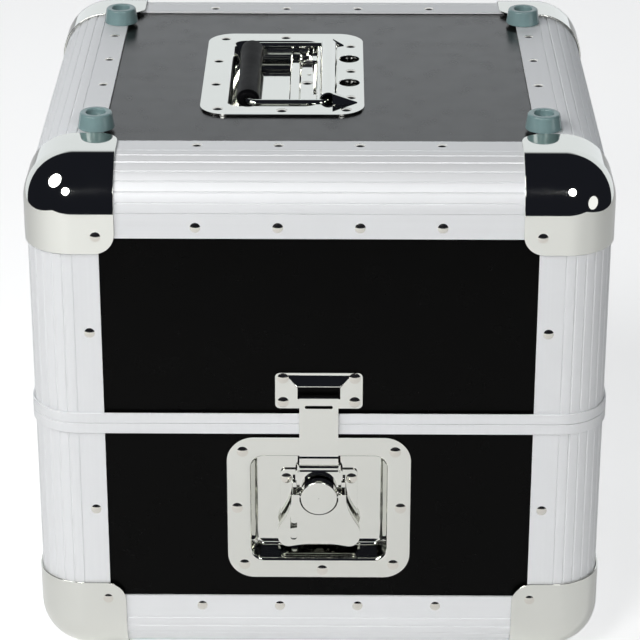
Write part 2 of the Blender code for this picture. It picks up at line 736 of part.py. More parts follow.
# Latch
def make_latch_dish(panels):
    half_w, half_h = LATCH_DISH_WIDTH / 2, LATCH_DISH_HEIGHT / 2
    recess_w, recess_h = LATCH_RECESS_WIDTH / 2, LATCH_RECESS_HEIGHT / 2
    flange = (-half_w, half_w, LATCH_Z - half_h, LATCH_Z + half_h, LATCH_DISH_RADIUS)
    recess = (-recess_w, recess_w, LATCH_Z - recess_h, LATCH_Z + recess_h, LATCH_RECESS_RADIUS)
    shape = dish(flange, recess, LATCH_FACE, LATCH_RECESS_DEPTH, LATCH_RECESS_DRAFT,
                 DISH_SHEET, on_front)
    add_piece("latch_dish", shape, "chrome", CASE)
    back = PANEL_FACE + PANEL_THICKNESS
    tool(panels["body_front_panel"],
         cutout(recess, DISH_SHEET, on_front, PANEL_FACE - OVERRUN, back + OVERRUN))


def make_latch_bracket():
    """The base plate on the dish's floor, with a folded guide each side of the pull plate."""
    half = BRACKET_WIDTH / 2
    outline = rounded_rectangle(-half, half, DRUM_Z - BRACKET_FALL, DRUM_Z + BRACKET_RISE,
                                BRACKET_CORNER, PLATE_CORNER_SEGMENTS)
    piece = add_piece("latch_bracket", prism(outline, BRACKET_FACE, BRACKET_BACK, on_front),
                      "chrome", CASE)
    inside = PULL_WIDTH / 2 + SEAT_GAP
    outside = inside + GUIDE_WALL
    lip_back = PULL_FRONT - SEAT_GAP
    lip_front = lip_back - GUIDE_LIP
    into_plate = BRACKET_FACE + BRACKET_SHEET / 2
    for sign in (-1, 1):
        angle = [(sign * inside, into_plate), (sign * inside, lip_back),
                 (sign * (inside - GUIDE_LIP_REACH), lip_back),
                 (sign * (inside - GUIDE_LIP_REACH), lip_front),
                 (sign * outside, lip_front), (sign * outside, into_plate)]
        guide = prism(angle, DRUM_Z - GUIDE_FALL, DRUM_Z + GUIDE_RISE,
                      lambda u, v, level: on_front(u, level, v))
        tool(piece, guide, "UNION")


def make_drum():
    """The round drum, its neck and its eccentric, with a trunnion each side for the wing."""
    def ring(radius, depth, drop=0):
        return [on_front(u, v, depth)
                for u, v in circle((0, DRUM_Z - drop), radius, DRUM_SEGMENTS)]

    shape = loft([
        ring(DRUM_RADIUS - DRUM_EDGE, DRUM_FRONT_DEPTH),
        ring(DRUM_RADIUS, DRUM_FRONT_DEPTH + DRUM_EDGE), ring(DRUM_RADIUS, DRUM_BACK),
        ring(DRUM_NECK_RADIUS, DRUM_BACK), ring(DRUM_NECK_RADIUS, ECCENTRIC_FRONT),
        ring(ECCENTRIC_RADIUS, ECCENTRIC_FRONT, ECCENTRIC_OFFSET),
        ring(ECCENTRIC_RADIUS, ECCENTRIC_BACK, ECCENTRIC_OFFSET),
        ring(DRUM_NECK_RADIUS, ECCENTRIC_BACK), ring(DRUM_NECK_RADIUS, BRACKET_FACE - SEAT_GAP),
    ])
    piece = add_piece("latch_drum", shape, "chrome", DRUM)
    tool(piece, rod((FOLD_DEPTH, DRUM_Z), TRUNNION_RADIUS, -TRUNNION_END, TRUNNION_END,
                    PIN_SEGMENTS, across), "UNION")


def make_pull_plate():
    """The plate that the eccentric moves in its window, with two ears and the hook's pin."""
    half = PULL_WIDTH / 2
    window_v = ECCENTRIC_RADIUS + PULL_SLIP + SEAT_GAP
    window_u = ECCENTRIC_RADIUS + ECCENTRIC_OFFSET + SEAT_GAP
    middle = DRUM_Z - ECCENTRIC_OFFSET
    low = middle - window_v - PULL_MARGIN
    high = HOOK_PIN_Z
    outline = rounded_rectangle(-half, half, low, high, BRACKET_CORNER,
                                PLATE_CORNER_SEGMENTS)
    piece = add_piece("latch_pull_plate", prism(outline, PULL_FRONT, PULL_BACK, on_front),
                      "chrome", PULL)
    ear_low = DRUM_Z + PULL_EAR_RISE
    for sign in (-1, 1):
        outer, inner = sign * half, sign * (half - PULL_EAR)
        ear = [(PULL_FRONT + PULL_SHEET / 2, ear_low), (PULL_FRONT + PULL_SHEET / 2, high),
               (HOOK_PIN_DEPTH, HOOK_PIN_Z + PULL_EAR_RADIUS)]
        ear += arc((HOOK_PIN_DEPTH, HOOK_PIN_Z), PULL_EAR_RADIUS, pi / 2, 3 * pi / 2,
                   EYE_SEGMENTS // 2)[1:]
        tool(piece, bar(ear, min(outer, inner), max(outer, inner), across), "UNION")
    pin_end = half - PULL_EAR / 2
    tool(piece, rod((HOOK_PIN_DEPTH, HOOK_PIN_Z), HOOK_PIN_RADIUS, -pin_end, pin_end,
                    PIN_SEGMENTS, across), "UNION")
    window = rounded_rectangle(-window_u, window_u, middle - window_v, middle + window_v,
                               window_v - SEAT_GAP, WINDOW_SEGMENTS)
    tool(piece, prism(window, PULL_FRONT - OVERRUN, PULL_BACK + OVERRUN, on_front))


def make_wing():
    """The butterfly wing: a pressed plate with folded edges, hung on the drum's trunnions."""
    right = [(u * WING_HALF_WIDTH, DRUM_Z - v * WING_REACH) for u, v in WING_OUTLINE_SHARES]
    left = [(-u, v) for u, v in reversed(right)]
    opening = asin(sqrt(1 - (WING_KNUCKLE_START / WING_NOTCH_RADIUS) ** 2))
    notch = arc((0, DRUM_Z), WING_NOTCH_RADIUS, pi + opening, 2 * pi - opening,
                NOTCH_SEGMENTS)
    front = FOLD_DEPTH - WING_KNUCKLE_RADIUS
    back = front + WING_SHEET
    top = DRUM_Z + WING_TOP_RISE
    start = [(left[-1][0], top), (-WING_KNUCKLE_START, top)]
    end = [(WING_KNUCKLE_START, top), (right[0][0], top)]
    outline = start + notch + end + right + left
    piece = add_piece("latch_wing", prism(outline, front, back, on_front), "chrome", WING)
    for sign in (-1, 1):
        edge = right[WING_FLANGE_SKIP_COUNT:][:WING_FLANGE_POINT_COUNT]
        strip = [(sign * u, v) for u, v in edge]
        strip += [(sign * (u - WING_SHEET), v) for u, v in reversed(edge)]
        tool(piece, prism(strip, front + WING_SHEET / 2, back + WING_FLANGE_DEPTH, on_front),
             "UNION")
        near, far = sign * WING_KNUCKLE_START, sign * WING_KNUCKLE_END
        tool(piece, rod((FOLD_DEPTH, DRUM_Z), WING_KNUCKLE_RADIUS, min(near, far),
                        max(near, far), EYE_SEGMENTS, across), "UNION")
    tool(piece, rod((FOLD_DEPTH, DRUM_Z), TRUNNION_RADIUS + SEAT_GAP,
                    -WING_KNUCKLE_END - OVERRUN, WING_KNUCKLE_END + OVERRUN, PIN_SEGMENTS,
                    across))
    half_slot = WING_SLOT_WIDTH / 2
    middle = DRUM_Z - WING_SLOT_DROP
    slot = rounded_rectangle(-WING_SLOT_OFFSET - half_slot, half_slot - WING_SLOT_OFFSET,
                             middle - WING_SLOT_LENGTH / 2, middle + WING_SLOT_LENGTH / 2,
                             half_slot * SLOT_ROUND_SHARE, PLATE_CORNER_SEGMENTS)
    tool(piece, prism(slot, front - OVERRUN, back + OVERRUN, on_front))


def make_hook():
    """The hook plate: a rolled eye on the pin, a crank over the dish and a lip at the top."""
    half = HOOK_WIDTH / 2
    crank = HOOK_PIN_Z + HOOK_CRANK_RISE
    eye_front = HOOK_PIN_DEPTH - HOOK_EYE_RADIUS * cos(EYE_BLEND_ANGLE)
    eye_rise = HOOK_PIN_Z + HOOK_EYE_RADIUS * sin(EYE_BLEND_ANGLE)
    lip_end = KEEPER_FACE - SEAT_GAP
    plate = [
        (lip_end, HOOK_TOP_Z), (HOOK_FRONT, HOOK_TOP_Z), (HOOK_FRONT, crank),
        (eye_front, eye_rise),
        (HOOK_PIN_DEPTH - HOOK_PIN_RADIUS, HOOK_PIN_Z + HOOK_EYE_RADIUS * EYE_BLEND_SHARE),
        (HOOK_BACK, crank + HOOK_SHEET * CRANK_SHEET_SHARE),
        (HOOK_BACK, HOOK_TOP_Z - HOOK_SHEET), (lip_end, HOOK_TOP_Z - HOOK_SHEET),
    ]
    piece = add_piece("latch_hook", bar(plate, -half, half, across), "chrome", HOOK)
    tool(piece, rod((HOOK_PIN_DEPTH, HOOK_PIN_Z), HOOK_EYE_RADIUS, -half, half,
                    EYE_SEGMENTS, across), "UNION")
    tool(piece, rod((HOOK_PIN_DEPTH, HOOK_PIN_Z), HOOK_PIN_RADIUS + SEAT_GAP,
                    -half - OVERRUN, half + OVERRUN, PIN_SEGMENTS, across))
    half_slot = HOOK_SLOT_WIDTH / 2
    top = HOOK_TOP_Z - HOOK_SLOT_DROP
    slot = rounded_rectangle(-half_slot, half_slot, top - HOOK_SLOT_HEIGHT, top,
                             HOOK_SLOT_HEIGHT / 2 * SLOT_ROUND_SHARE, PLATE_CORNER_SEGMENTS)
    tool(piece, prism(slot, HOOK_FRONT - OVERRUN, HOOK_BACK + OVERRUN / 2, on_front))


def make_keeper():
    """The keeper plate: a window for the hook, under a hood pressed out of the same sheet."""
    half_w, half_h = KEEPER_WIDTH / 2, KEEPER_HEIGHT / 2
    outline = rounded_rectangle(-half_w, half_w, KEEPER_Z - half_h, KEEPER_Z + half_h,
                                KEEPER_CORNER, PLATE_CORNER_SEGMENTS)
    piece = add_piece("latch_keeper", prism(outline, KEEPER_FACE, KEEPER_BACK, on_front),
                      "chrome", LID)
    base = KEEPER_Z - half_h
    top, edge, low = base + HOOD_TOP_RISE, base + WINDOW_TOP_RISE, base + WINDOW_BOTTOM_RISE

    def hood(wall, back):
        """The hood's outer form, or with a wall its inner one: widest and flattest at the top."""
        levels = (
            (edge - (OVERRUN if wall else 0), WINDOW_HALF_WIDTH - wall, HOOD_PROUD - wall),
            (top - 2 * wall, HOOD_TOP_HALF_WIDTH - 2 * wall, -wall),
        )
        return loft([[on_front(u, height, depth) for u, depth in (
            (-half, KEEPER_FACE - proud), (half, KEEPER_FACE - proud), (half, back), (-half, back),
        )] for height, half, proud in levels])

    tool(piece, hood(0, KEEPER_FACE + KEEPER_SHEET / 2), "UNION")
    tool(piece, hood(KEEPER_SHEET * HOOD_WALL_SHARE, KEEPER_BACK + OVERRUN))
    half_window = WINDOW_HALF_WIDTH - KEEPER_SHEET * HOOD_WALL_SHARE
    tool(piece, block((-half_window, KEEPER_FACE - OVERRUN - HALF_DEPTH, low),
                      (half_window, KEEPER_BACK + OVERRUN - HALF_DEPTH, edge)))


# Rear hinges
def make_hinges():
    """Two hinges: the body leaf carries the middle knuckle and the pin, the lid leaf the rest."""
    axis = (-HINGE_STAND_OFF, SEAM_Z)
    plate_back = KEEPER_BACK
    plate_front = plate_back - HINGE_SHEET
    outer = -HINGE_STAND_OFF + HINGE_KNUCKLE_RADIUS
    leaf_front = outer - HINGE_SHEET

    def behind(level, depth, height):
        return Vector((level, HALF_DEPTH - depth, height))

    for side, sign in (("left", -1), ("right", 1)):
        middle = sign * HINGE_OFFSET_X
        left, right = middle - HINGE_WIDTH / 2, middle + HINGE_WIDTH / 2
        inner_left, inner_right = middle - HINGE_MIDDLE / 2, middle + HINGE_MIDDLE / 2
        for half, parent, up in (("body", CASE, -1), ("lid", LID, 1)):
            def at(rise, up=up):
                return SEAM_Z + up * rise
            section = [
                (leaf_front, at(0)), (leaf_front, at(HINGE_CRANK_START)),
                (plate_front, at(HINGE_CRANK_END)), (plate_front, at(HINGE_LEAF_LENGTH)),
                (plate_back, at(HINGE_LEAF_LENGTH)), (plate_back, at(HINGE_CRANK_END)),
                (outer, at(HINGE_CRANK_START)), (outer, at(0)),
            ]
            piece = add_piece(f"{side}_hinge_{half}_leaf", bar(section, left, right, behind),
                              "chrome", parent, (middle, HINGE_Y, SEAM_Z))
            tall = HINGE_KNUCKLE_RADIUS + SEAT_GAP
            low, high = sorted((at(-OVERRUN), at(tall)))
            near = HALF_DEPTH - outer - OVERRUN
            far = HINGE_Y + HINGE_KNUCKLE_RADIUS + OVERRUN
            if half == "body":
                for start, end in ((left - OVERRUN, inner_left), (inner_right, right + OVERRUN)):
                    tool(piece, block((start, near, low), (end, far, high)))
                tool(piece, rod(axis, HINGE_KNUCKLE_RADIUS, inner_left, inner_right,
                                HINGE_SEGMENTS, behind), "UNION")
                tool(piece, rod(axis, HINGE_PIN_RADIUS, left, right, PIN_SEGMENTS, behind),
                     "UNION")
            else:
                gap_left, gap_right = inner_left - SEAT_GAP, inner_right + SEAT_GAP
                tool(piece, block((gap_left, near, low), (gap_right, far, high)))
                for start, end in ((left, gap_left), (gap_right, right)):
                    tool(piece, rod(axis, HINGE_KNUCKLE_RADIUS, start, end, HINGE_SEGMENTS,
                                    behind), "UNION")
                tool(piece, rod(axis, HINGE_PIN_RADIUS + HINGE_PIN_CLEARANCE, left - OVERRUN,
                                right + OVERRUN, PIN_SEGMENTS, behind))


# Handle
def along(u, depth, y):
    """A point of a section in the top's width and depth, at a place along the handle."""
    return Vector((u, y, TOP_Z - depth))


def handle_dish_recess():
    half = HANDLE_RECESS_LENGTH / 2
    return (HANDLE_RECESS_LEFT, HANDLE_RECESS_RIGHT, -half, half, HANDLE_RECESS_RADIUS)


def hood_forms(shrink):
    """The half-round hood over the bail's pivot and the two half-cones over its arms."""
    radius = HOOD_RADIUS - shrink
    end = HOOD_HALF_LENGTH + (OVERRUN if shrink else 0)
    tube = prism(circle((PIVOT_X, PIVOT_DEPTH), radius, HOOD_SEGMENTS), -end, end, along)
    forms = [tube]
    mouth = CONE_MOUTH_X if shrink == 0 else CONE_MOUTH_X - OVERRUN
    for sign in (-1, 1):
        loops = []
        for at, size in ((mouth, CONE_RADIUS - shrink),
                         (CONE_TIP_X - shrink, max(CONE_TIP_RADIUS - shrink, SEAT_GAP))):
            loops.append([Vector((at, sign * BAIL_ARM_Y + u, TOP_Z - PIVOT_DEPTH + v))
                          for u, v in circle((0, 0), size, HOOD_SEGMENTS)])
        forms.append(loft(loops))
    return forms


def make_handle_dish(panels):
    half = HANDLE_DISH_LENGTH / 2
    flange = (HANDLE_DISH_LEFT, HANDLE_DISH_RIGHT, -half, half, HANDLE_DISH_RADIUS)
    recess = handle_dish_recess()
    shape = dish(flange, recess, HANDLE_FACE, HANDLE_RECESS_DEPTH, HANDLE_RECESS_DRAFT,
                 HANDLE_SHEET, on_top)
    piece = add_piece("handle_dish", shape, "chrome", LID)
    floor = TOP_Z - HANDLE_FACE - HANDLE_SHEET / 2
    for form in hood_forms(0):
        cut = bmesh.ops.bisect_plane(form, geom=form.verts[:] + form.edges[:] + form.faces[:],
                                     plane_co=(0, 0, floor), plane_no=(0, 0, -1),
                                     clear_outer=True)
        rim = [item for item in cut["geom_cut"] if isinstance(item, bmesh.types.BMEdge)]
        bmesh.ops.contextual_create(form, geom=rim)
        tool(piece, outward(form), "UNION")
    for form in hood_forms(HANDLE_SHEET):
        tool(piece, form)
    low = TOP_Z - PIVOT_DEPTH - BAIL_RADIUS - 2 * REST_SHEET
    arm = BAIL_RADIUS + ARM_CLEARANCE
    for sign in (-1, 1):
        near = sign * REST_TONGUE_Y - REST_TONGUE_SPAN / 2 - SLOT_CLEARANCE
        far = sign * REST_TONGUE_Y + REST_TONGUE_SPAN / 2 + SLOT_CLEARANCE
        tool(piece, block((REST_RIGHT - REST_SHEET, near, low - REST_SHEET),
                          (PIVOT_X, far, low + 2 * REST_SHEET)))
        near, far = sign * BAIL_ARM_Y - arm, sign * BAIL_ARM_Y + arm
        tool(piece, block((REST_RIGHT, near, TOP_Z - PIVOT_DEPTH - arm),
                          (CONE_MOUTH_X, far, TOP_Z + HOOD_RADIUS)))
    left, right, front, rear, radius = recess
    grown = (left, PIVOT_X + HOOD_RADIUS - DISH_BEND, front, rear, radius)
    tool(panels["lid_top_panel"],
         cutout(grown, HANDLE_SHEET, on_top, PANEL_FACE - OVERRUN,
                PANEL_FACE + PANEL_THICKNESS + OVERRUN))


def make_handle_rest():
    """The folded rest in the recess. Its tongues pass the wall and carry the bail's ends."""
    floor = HANDLE_FLOOR - SEAT_GAP
    half = REST_SHEET
    bead_right = REST_LEFT + REST_BEAD_WIDTH
    section = [
        (REST_LEFT, floor), (REST_LEFT, REST_DEPTH - REST_BEAD),
        (bead_right, REST_DEPTH - REST_BEAD), (bead_right + REST_BEAD, REST_DEPTH),
        (REST_RIGHT, REST_DEPTH), (REST_RIGHT, REST_DEPTH + half),
        (bead_right + REST_BEAD - half / 2, REST_DEPTH + half),
        (bead_right - half / 2, REST_DEPTH - REST_BEAD + half),
        (REST_LEFT + half, REST_DEPTH - REST_BEAD + half), (REST_LEFT + half, floor),
    ]
    piece = add_piece("handle_rest",
                      prism(section, -REST_HALF_LENGTH, REST_HALF_LENGTH, along),
                      "chrome", LID)
    seat = BAIL_RADIUS + SEAT_GAP
    outer = seat + REST_SHEET
    wall = REST_RIGHT - REST_SHEET
    for sign in (-1, 1):
        hook = [(wall, REST_DEPTH + half), (REST_RIGHT, REST_DEPTH + half),
                (REST_RIGHT, PIVOT_DEPTH + outer)]
        hook += arc((PIVOT_X, PIVOT_DEPTH), outer, pi / 2, CURL_END_ANGLE, WINDOW_SEGMENTS)
        hook += arc((PIVOT_X, PIVOT_DEPTH), seat, CURL_END_ANGLE, pi / 2, WINDOW_SEGMENTS)
        hook += [(wall, PIVOT_DEPTH + seat)]
        start = sign * REST_TONGUE_Y - REST_TONGUE_SPAN / 2
        tool(piece, prism(hook, start, start + REST_TONGUE_SPAN, along), "UNION")


def make_bail():
    """A bent steel rod: the grip's bar, two arms and two short ends on the pivot's axis."""
    level = TOP_Z - PIVOT_DEPTH
    corners = [(PIVOT_X, -BAIL_STUB), (PIVOT_X, -BAIL_ARM_Y), (BAIL_GRIP_X, -BAIL_ARM_Y),
               (BAIL_GRIP_X, BAIL_ARM_Y), (PIVOT_X, BAIL_ARM_Y), (PIVOT_X, BAIL_STUB)]
    path = [Vector((*corners[0], level))]
    for before, corner, after in zip(corners, corners[1:], corners[2:]):
        here = Vector((*corner, level))
        back = (Vector((*before, level)) - here).normalized()
        on = (Vector((*after, level)) - here).normalized()
        middle = here + (back + on) * BAIL_BEND
        for step in range(BAIL_BEND_SEGMENTS + 1):
            turn = step / BAIL_BEND_SEGMENTS * pi / 2
            path.append(middle - on * BAIL_BEND * cos(turn) - back * BAIL_BEND * sin(turn))
    path.append(Vector((*corners[-1], level)))
    loops = []
    for index, point in enumerate(path):
        before = path[max(index - 1, 0)]
        after = path[min(index + 1, len(path) - 1)]
        forward = (after - before).normalized()
        side = forward.cross(Vector((0, 0, 1)))
        loops.append([point + side * u + Vector((0, 0, v))
                      for u, v in circle((0, 0), BAIL_RADIUS, BAIL_SEGMENTS)])
    add_piece("handle_bail", loft(loops), "chrome", HANDLE)


def make_grip():
    """The moulded grip on the bail's bar: an oval with rounded ends and a slight waist."""
    level = TOP_Z - PIVOT_DEPTH
    loops = []
    for place, size in GRIP_RING_SHARES:
        loops.append([Vector((BAIL_GRIP_X + u * GRIP_WIDTH / 2 * size,
                              place * GRIP_LENGTH / 2, level + v * GRIP_HEIGHT / 2 * size))
                      for u, v in circle((0, 0), 1, GRIP_SEGMENTS)])
    piece = add_piece("handle_grip", loft(loops), "grip", HANDLE)
    end = GRIP_LENGTH / 2 + OVERRUN
    tool(piece, prism(circle((BAIL_GRIP_X, PIVOT_DEPTH), BAIL_RADIUS + SEAT_GAP,
                             PIN_SEGMENTS), -end, end, along))


PANELS = make_panels()
make_edges()
make_caps()
make_rings()
make_feet()
make_latch_dish(PANELS)
make_latch_bracket()
make_drum()
make_pull_plate()
make_wing()
make_hook()
make_keeper()
make_hinges()
make_handle_dish(PANELS)
make_handle_rest()
make_bail()
make_grip()
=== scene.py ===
# %% [markdown]
# A record carrying case, dressed for a studio photograph.
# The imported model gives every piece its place. This file gives each one its finished
# shape and its surface: fluted aluminium, bright plated corners, black laminate, rubber
# feet, and the pressed latch and handle. Sizes are in metres and read from the frame.

# %% The frame
import json
from itertools import product
from math import atan2, cos, pi, radians, sin, sqrt

import bmesh
import bpy
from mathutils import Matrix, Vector


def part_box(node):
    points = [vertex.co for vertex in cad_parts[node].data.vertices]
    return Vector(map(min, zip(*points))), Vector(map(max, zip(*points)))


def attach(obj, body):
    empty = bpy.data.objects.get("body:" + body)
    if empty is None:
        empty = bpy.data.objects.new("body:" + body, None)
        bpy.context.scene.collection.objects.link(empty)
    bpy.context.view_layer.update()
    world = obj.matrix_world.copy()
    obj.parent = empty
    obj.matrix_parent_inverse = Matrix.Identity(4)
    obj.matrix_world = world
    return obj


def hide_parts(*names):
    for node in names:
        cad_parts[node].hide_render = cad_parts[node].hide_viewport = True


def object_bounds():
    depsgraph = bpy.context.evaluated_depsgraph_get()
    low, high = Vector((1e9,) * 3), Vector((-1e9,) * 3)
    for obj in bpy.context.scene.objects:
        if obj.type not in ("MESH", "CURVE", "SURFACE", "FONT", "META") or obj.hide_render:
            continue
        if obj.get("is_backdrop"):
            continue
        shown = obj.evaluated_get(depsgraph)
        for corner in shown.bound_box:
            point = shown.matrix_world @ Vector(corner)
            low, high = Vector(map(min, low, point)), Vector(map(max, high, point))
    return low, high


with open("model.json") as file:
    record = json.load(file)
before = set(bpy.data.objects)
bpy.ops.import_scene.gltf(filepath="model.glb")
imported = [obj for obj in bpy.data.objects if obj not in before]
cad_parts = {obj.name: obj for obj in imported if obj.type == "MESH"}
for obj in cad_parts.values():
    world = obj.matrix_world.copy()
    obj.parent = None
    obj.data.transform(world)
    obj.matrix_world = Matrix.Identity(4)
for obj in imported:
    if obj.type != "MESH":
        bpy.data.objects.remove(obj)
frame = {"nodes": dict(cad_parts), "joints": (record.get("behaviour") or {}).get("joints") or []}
CAD_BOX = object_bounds()
nodes = frame["nodes"]
joints = {joint["name"]: joint for joint in frame["joints"]}

# %% [markdown]
# The case is a box, so six planes place nearly everything. They are the outer faces of the
# aluminium edges, and they come from the boxes of four of those edges. The seam between body
# and lid is at the height of the rear hinges' axis. Each plane is kept with its name and with
# the sign of the way inwards from it.

# %% The planes of the case
LEFT_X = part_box("lid_left_edge")[0].x
RIGHT_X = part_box("lid_right_edge")[1].x
FRONT_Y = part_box("lid_front_edge")[0].y
REAR_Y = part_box("lid_rear_edge")[1].y
TOP_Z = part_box("lid_front_edge")[1].z
BASE_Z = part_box("body_front_edge")[0].z
SEAM_Z = joints["lid_hinge"]["pos_m"][2]
MIDDLE_Y = (FRONT_Y + REAR_Y) / 2
HALVES = (("body", "case", BASE_Z, 1), ("lid", "lid", TOP_Z, -1))
WALLS = (("front", FRONT_Y, 1), ("rear", REAR_Y, -1))
FLANKS = (("left", LEFT_X, 1), ("right", RIGHT_X, -1))
print("case", RIGHT_X - LEFT_X, REAR_Y - FRONT_Y, TOP_Z - BASE_Z)

# %% [markdown]
# The camera stands where the photographer stood: a long lens, a little above the lid, looking
# down by a quarter of a right angle. The shift slides the picture without tilting the uprights.

# %% Camera
CAMERA_PLACE = (0.01053, -1.67247, 0.93097)
CAMERA_PITCH = radians(90 - 24.676)
CAMERA_YAW = radians(0.493)
CAMERA_LENS = 150.49
CAMERA_SENSOR = 36
CAMERA_SHIFT = (0.0076, 0.0169)
CAMERA_NEAR = 0.05

camera_data = bpy.data.cameras.new("camera")
camera_data.lens = CAMERA_LENS
camera_data.sensor_width = CAMERA_SENSOR
camera_data.shift_x, camera_data.shift_y = CAMERA_SHIFT
camera_data.clip_start = CAMERA_NEAR
camera = bpy.data.objects.new("camera", camera_data)
camera.location = CAMERA_PLACE
camera.rotation_euler = (CAMERA_PITCH, 0, CAMERA_YAW)
bpy.context.scene.collection.objects.link(camera)
bpy.context.scene.camera = camera
bpy.context.scene.view_settings.view_transform = "Standard"

# %% [markdown]
# The studio is a white floor, a bright wall of light low behind the case, and a dark room above
# and in front. Bright plate shows whatever is round it, so the dark room is what draws the
# black bands on the corners. The world paints it by direction: white low down, dark high up.

# %% World
WORLD_LIGHT = (0.93, 0.97, 1.0)
WORLD_DARK = (0.012, 0.013, 0.018)
WHITE = (1, 1, 1, 1)
BEHIND_FADE = (0.60, 0.70)
FRONT_FADE = (-0.50, -0.40)
BEHIND_Y = (0.50, 0.70)


def add_node(tree, kind, *plugs, **values):
    """A node with its properties and its sockets set. A value that is a socket is linked."""
    node = tree.nodes.new(kind)
    sockets = dict(enumerate(plugs))
    for key, value in values.items():
        if hasattr(node, key):
            setattr(node, key, value)
        else:
            sockets[key.replace("_", " ")] = value
    for socket, value in sockets.items():
        if isinstance(value, bpy.types.NodeSocket):
            tree.links.new(value, node.inputs[socket])
        else:
            node.inputs[socket].default_value = value
    return node


def mixed(tree, share, first, second):
    """A colour between two colours."""
    mix = add_node(tree, "ShaderNodeMix", data_type="RGBA", Factor=share)
    mix.inputs[6].default_value = (*first, 1)
    mix.inputs[7].default_value = (*second, 1)
    return mix.outputs[2]


def map_range(tree, value, start, end, **more):
    """A number carried from one range to another."""
    return add_node(tree, "ShaderNodeMapRange", Value=value, To_Min=start, To_Max=end,
                    **more).outputs[0]


def build_world():
    world = bpy.data.worlds.new("studio")
    bpy.context.scene.world = world
    world.use_nodes = True
    tree = world.node_tree
    tree.nodes.clear()
    direction = add_node(tree, "ShaderNodeTexCoord").outputs["Generated"]
    split = add_node(tree, "ShaderNodeSeparateXYZ", direction).outputs
    behind = map_range(tree, split["Y"], 0.0, 1.0, From_Min=BEHIND_Y[0], From_Max=BEHIND_Y[1])
    low, high = [map_range(tree, behind, *ends) for ends in zip(FRONT_FADE, BEHIND_FADE)]
    height = map_range(tree, split["Z"], 1.0, 0.0, From_Min=low, From_Max=high)
    room = mixed(tree, height, WORLD_DARK, WORLD_LIGHT)
    lit = add_node(tree, "ShaderNodeBackground", Color=room)
    seen = add_node(tree, "ShaderNodeBackground", Color=WHITE)
    rays = add_node(tree, "ShaderNodeLightPath").outputs
    choose = add_node(tree, "ShaderNodeMixShader", rays["Is Camera Ray"], lit.outputs[0],
                      seen.outputs[0])
    add_node(tree, "ShaderNodeOutputWorld", Surface=choose.outputs[0])


build_world()

# %% [markdown]
# Two soft lamps stand in front and above, a larger one to the left, and a weak one low on the
# right. Their places come from the bright spots on the round corners: each corner is a mirror
# ball, and a mirror ball tells where every lamp stands.

# %% Lamps
LAMPS = {
    "front_left_lamp": ((-0.65, -1.68, 1.23), 0.52, 13.0),
    "front_right_lamp": ((0.59, -1.67, 1.27), 0.52, 8.0),
    "left_lamp": ((-1.28, -0.83, 1.58), 0.90, 18.0),
    "right_lamp": ((1.76, -1.00, 0.30), 0.80, 2.0),
}
LAMP_AIM = Vector((0, 0, 0.20))

for name, (place, size, power) in LAMPS.items():
    lamp_data = bpy.data.lights.new(name, "AREA")
    lamp_data.shape = "DISK"
    lamp_data.size = size
    lamp_data.energy = power
    lamp = bpy.data.objects.new(name, lamp_data)
    lamp.location = place
    lamp.rotation_euler = (LAMP_AIM - Vector(place)).to_track_quat("-Z", "Y").to_euler()
    bpy.context.scene.collection.objects.link(lamp)

# %% [markdown]
# Every material starts from the same few nodes: a Principled shader, noise on Object coordinates
# that breaks up its roughness, and a fine bump. What differs is the noise's size and stretch.
# Extruded aluminium has streaks along its length, plate has faint swirls, laminate has a fine
# even grain.

# %% Materials
NOISE_RANGE = (0.3, 0.7)
BROAD_DETAIL = 4.0
FINE_DETAIL = 3.0
BUMP_HEIGHT = 0.0005


def surface(name, colour, roughness, metallic=0.0, spread=0.05, scale=60, bump=0.02,
            bump_scale=900, tint=0.06, **sockets):
    """A finish whose roughness, colour and height vary with noise at two scales."""
    made = bpy.data.materials.new(name)
    made.use_nodes = True
    made.diffuse_color = (*colour, 1)
    tree = made.node_tree
    shader = tree.nodes["Principled BSDF"].inputs
    shader["Metallic"].default_value = metallic
    for socket, value in sockets.items():
        shader[socket].default_value = value
    place = add_node(tree, "ShaderNodeTexCoord").outputs["Object"]

    def noise(stretch, detail):
        if not isinstance(stretch, tuple):
            stretch = (stretch,) * 3
        mapping = add_node(tree, "ShaderNodeMapping", Vector=place, Scale=stretch)
        return add_node(tree, "ShaderNodeTexNoise", Vector=mapping.outputs[0], Scale=1.0,
                        Detail=detail).outputs["Fac"]

    broad = noise(scale, BROAD_DETAIL)
    varied = map_range(tree, broad, roughness - spread, roughness + spread,
                       From_Min=NOISE_RANGE[0], From_Max=NOISE_RANGE[1])
    tree.links.new(varied, shader["Roughness"])
    shades = mixed(tree, broad, [c * (1 - tint) for c in colour],
                   [min(c * (1 + tint), 1) for c in colour])
    tree.links.new(shades, shader["Base Color"])
    if bump:
        height = add_node(tree, "ShaderNodeBump", Strength=bump, Distance=BUMP_HEIGHT,
                          Height=noise(bump_scale, FINE_DETAIL))
        tree.links.new(height.outputs[0], shader["Normal"])
    return made


# Two copies of one black laminate board. The first covers every panel but the lid's top. The second
# is lighter and glossier and covers only the lid's top panel: painted sheen that makes the upward
# face brighter than the sides.
LAMINATE = surface("black_laminate", (0.0010, 0.0010, 0.0009), 0.30, bump=0.03,
                   bump_scale=1400, tint=0.15, IOR=1.15)
LAMINATE_PAINTED_TOP_SHEEN = surface("lid_laminate", (0.0035, 0.0035, 0.0032), 0.24, bump=0.03,
                       bump_scale=1400, tint=0.15, IOR=1.42)
CHROME = surface("bright_plate", (0.70, 0.705, 0.665), 0.045, 1.0, spread=0.015, scale=45,
                 bump=0.012, bump_scale=120, tint=0.02)
RIVET_METAL = surface("rivet_plate", (0.66, 0.64, 0.59), 0.12, 1.0, spread=0.04, scale=300,
                      bump=0.0, tint=0.05)
RUBBER = surface("grey_green_rubber", (0.195, 0.295, 0.300), 0.15, spread=0.03, scale=200,
                 bump=0.05, bump_scale=2500)
GRIP_BLACK = surface("satin_black_grip", (0.004, 0.004, 0.0045), 0.34, scale=150, bump=0.05,
                     bump_scale=1800, IOR=1.08)
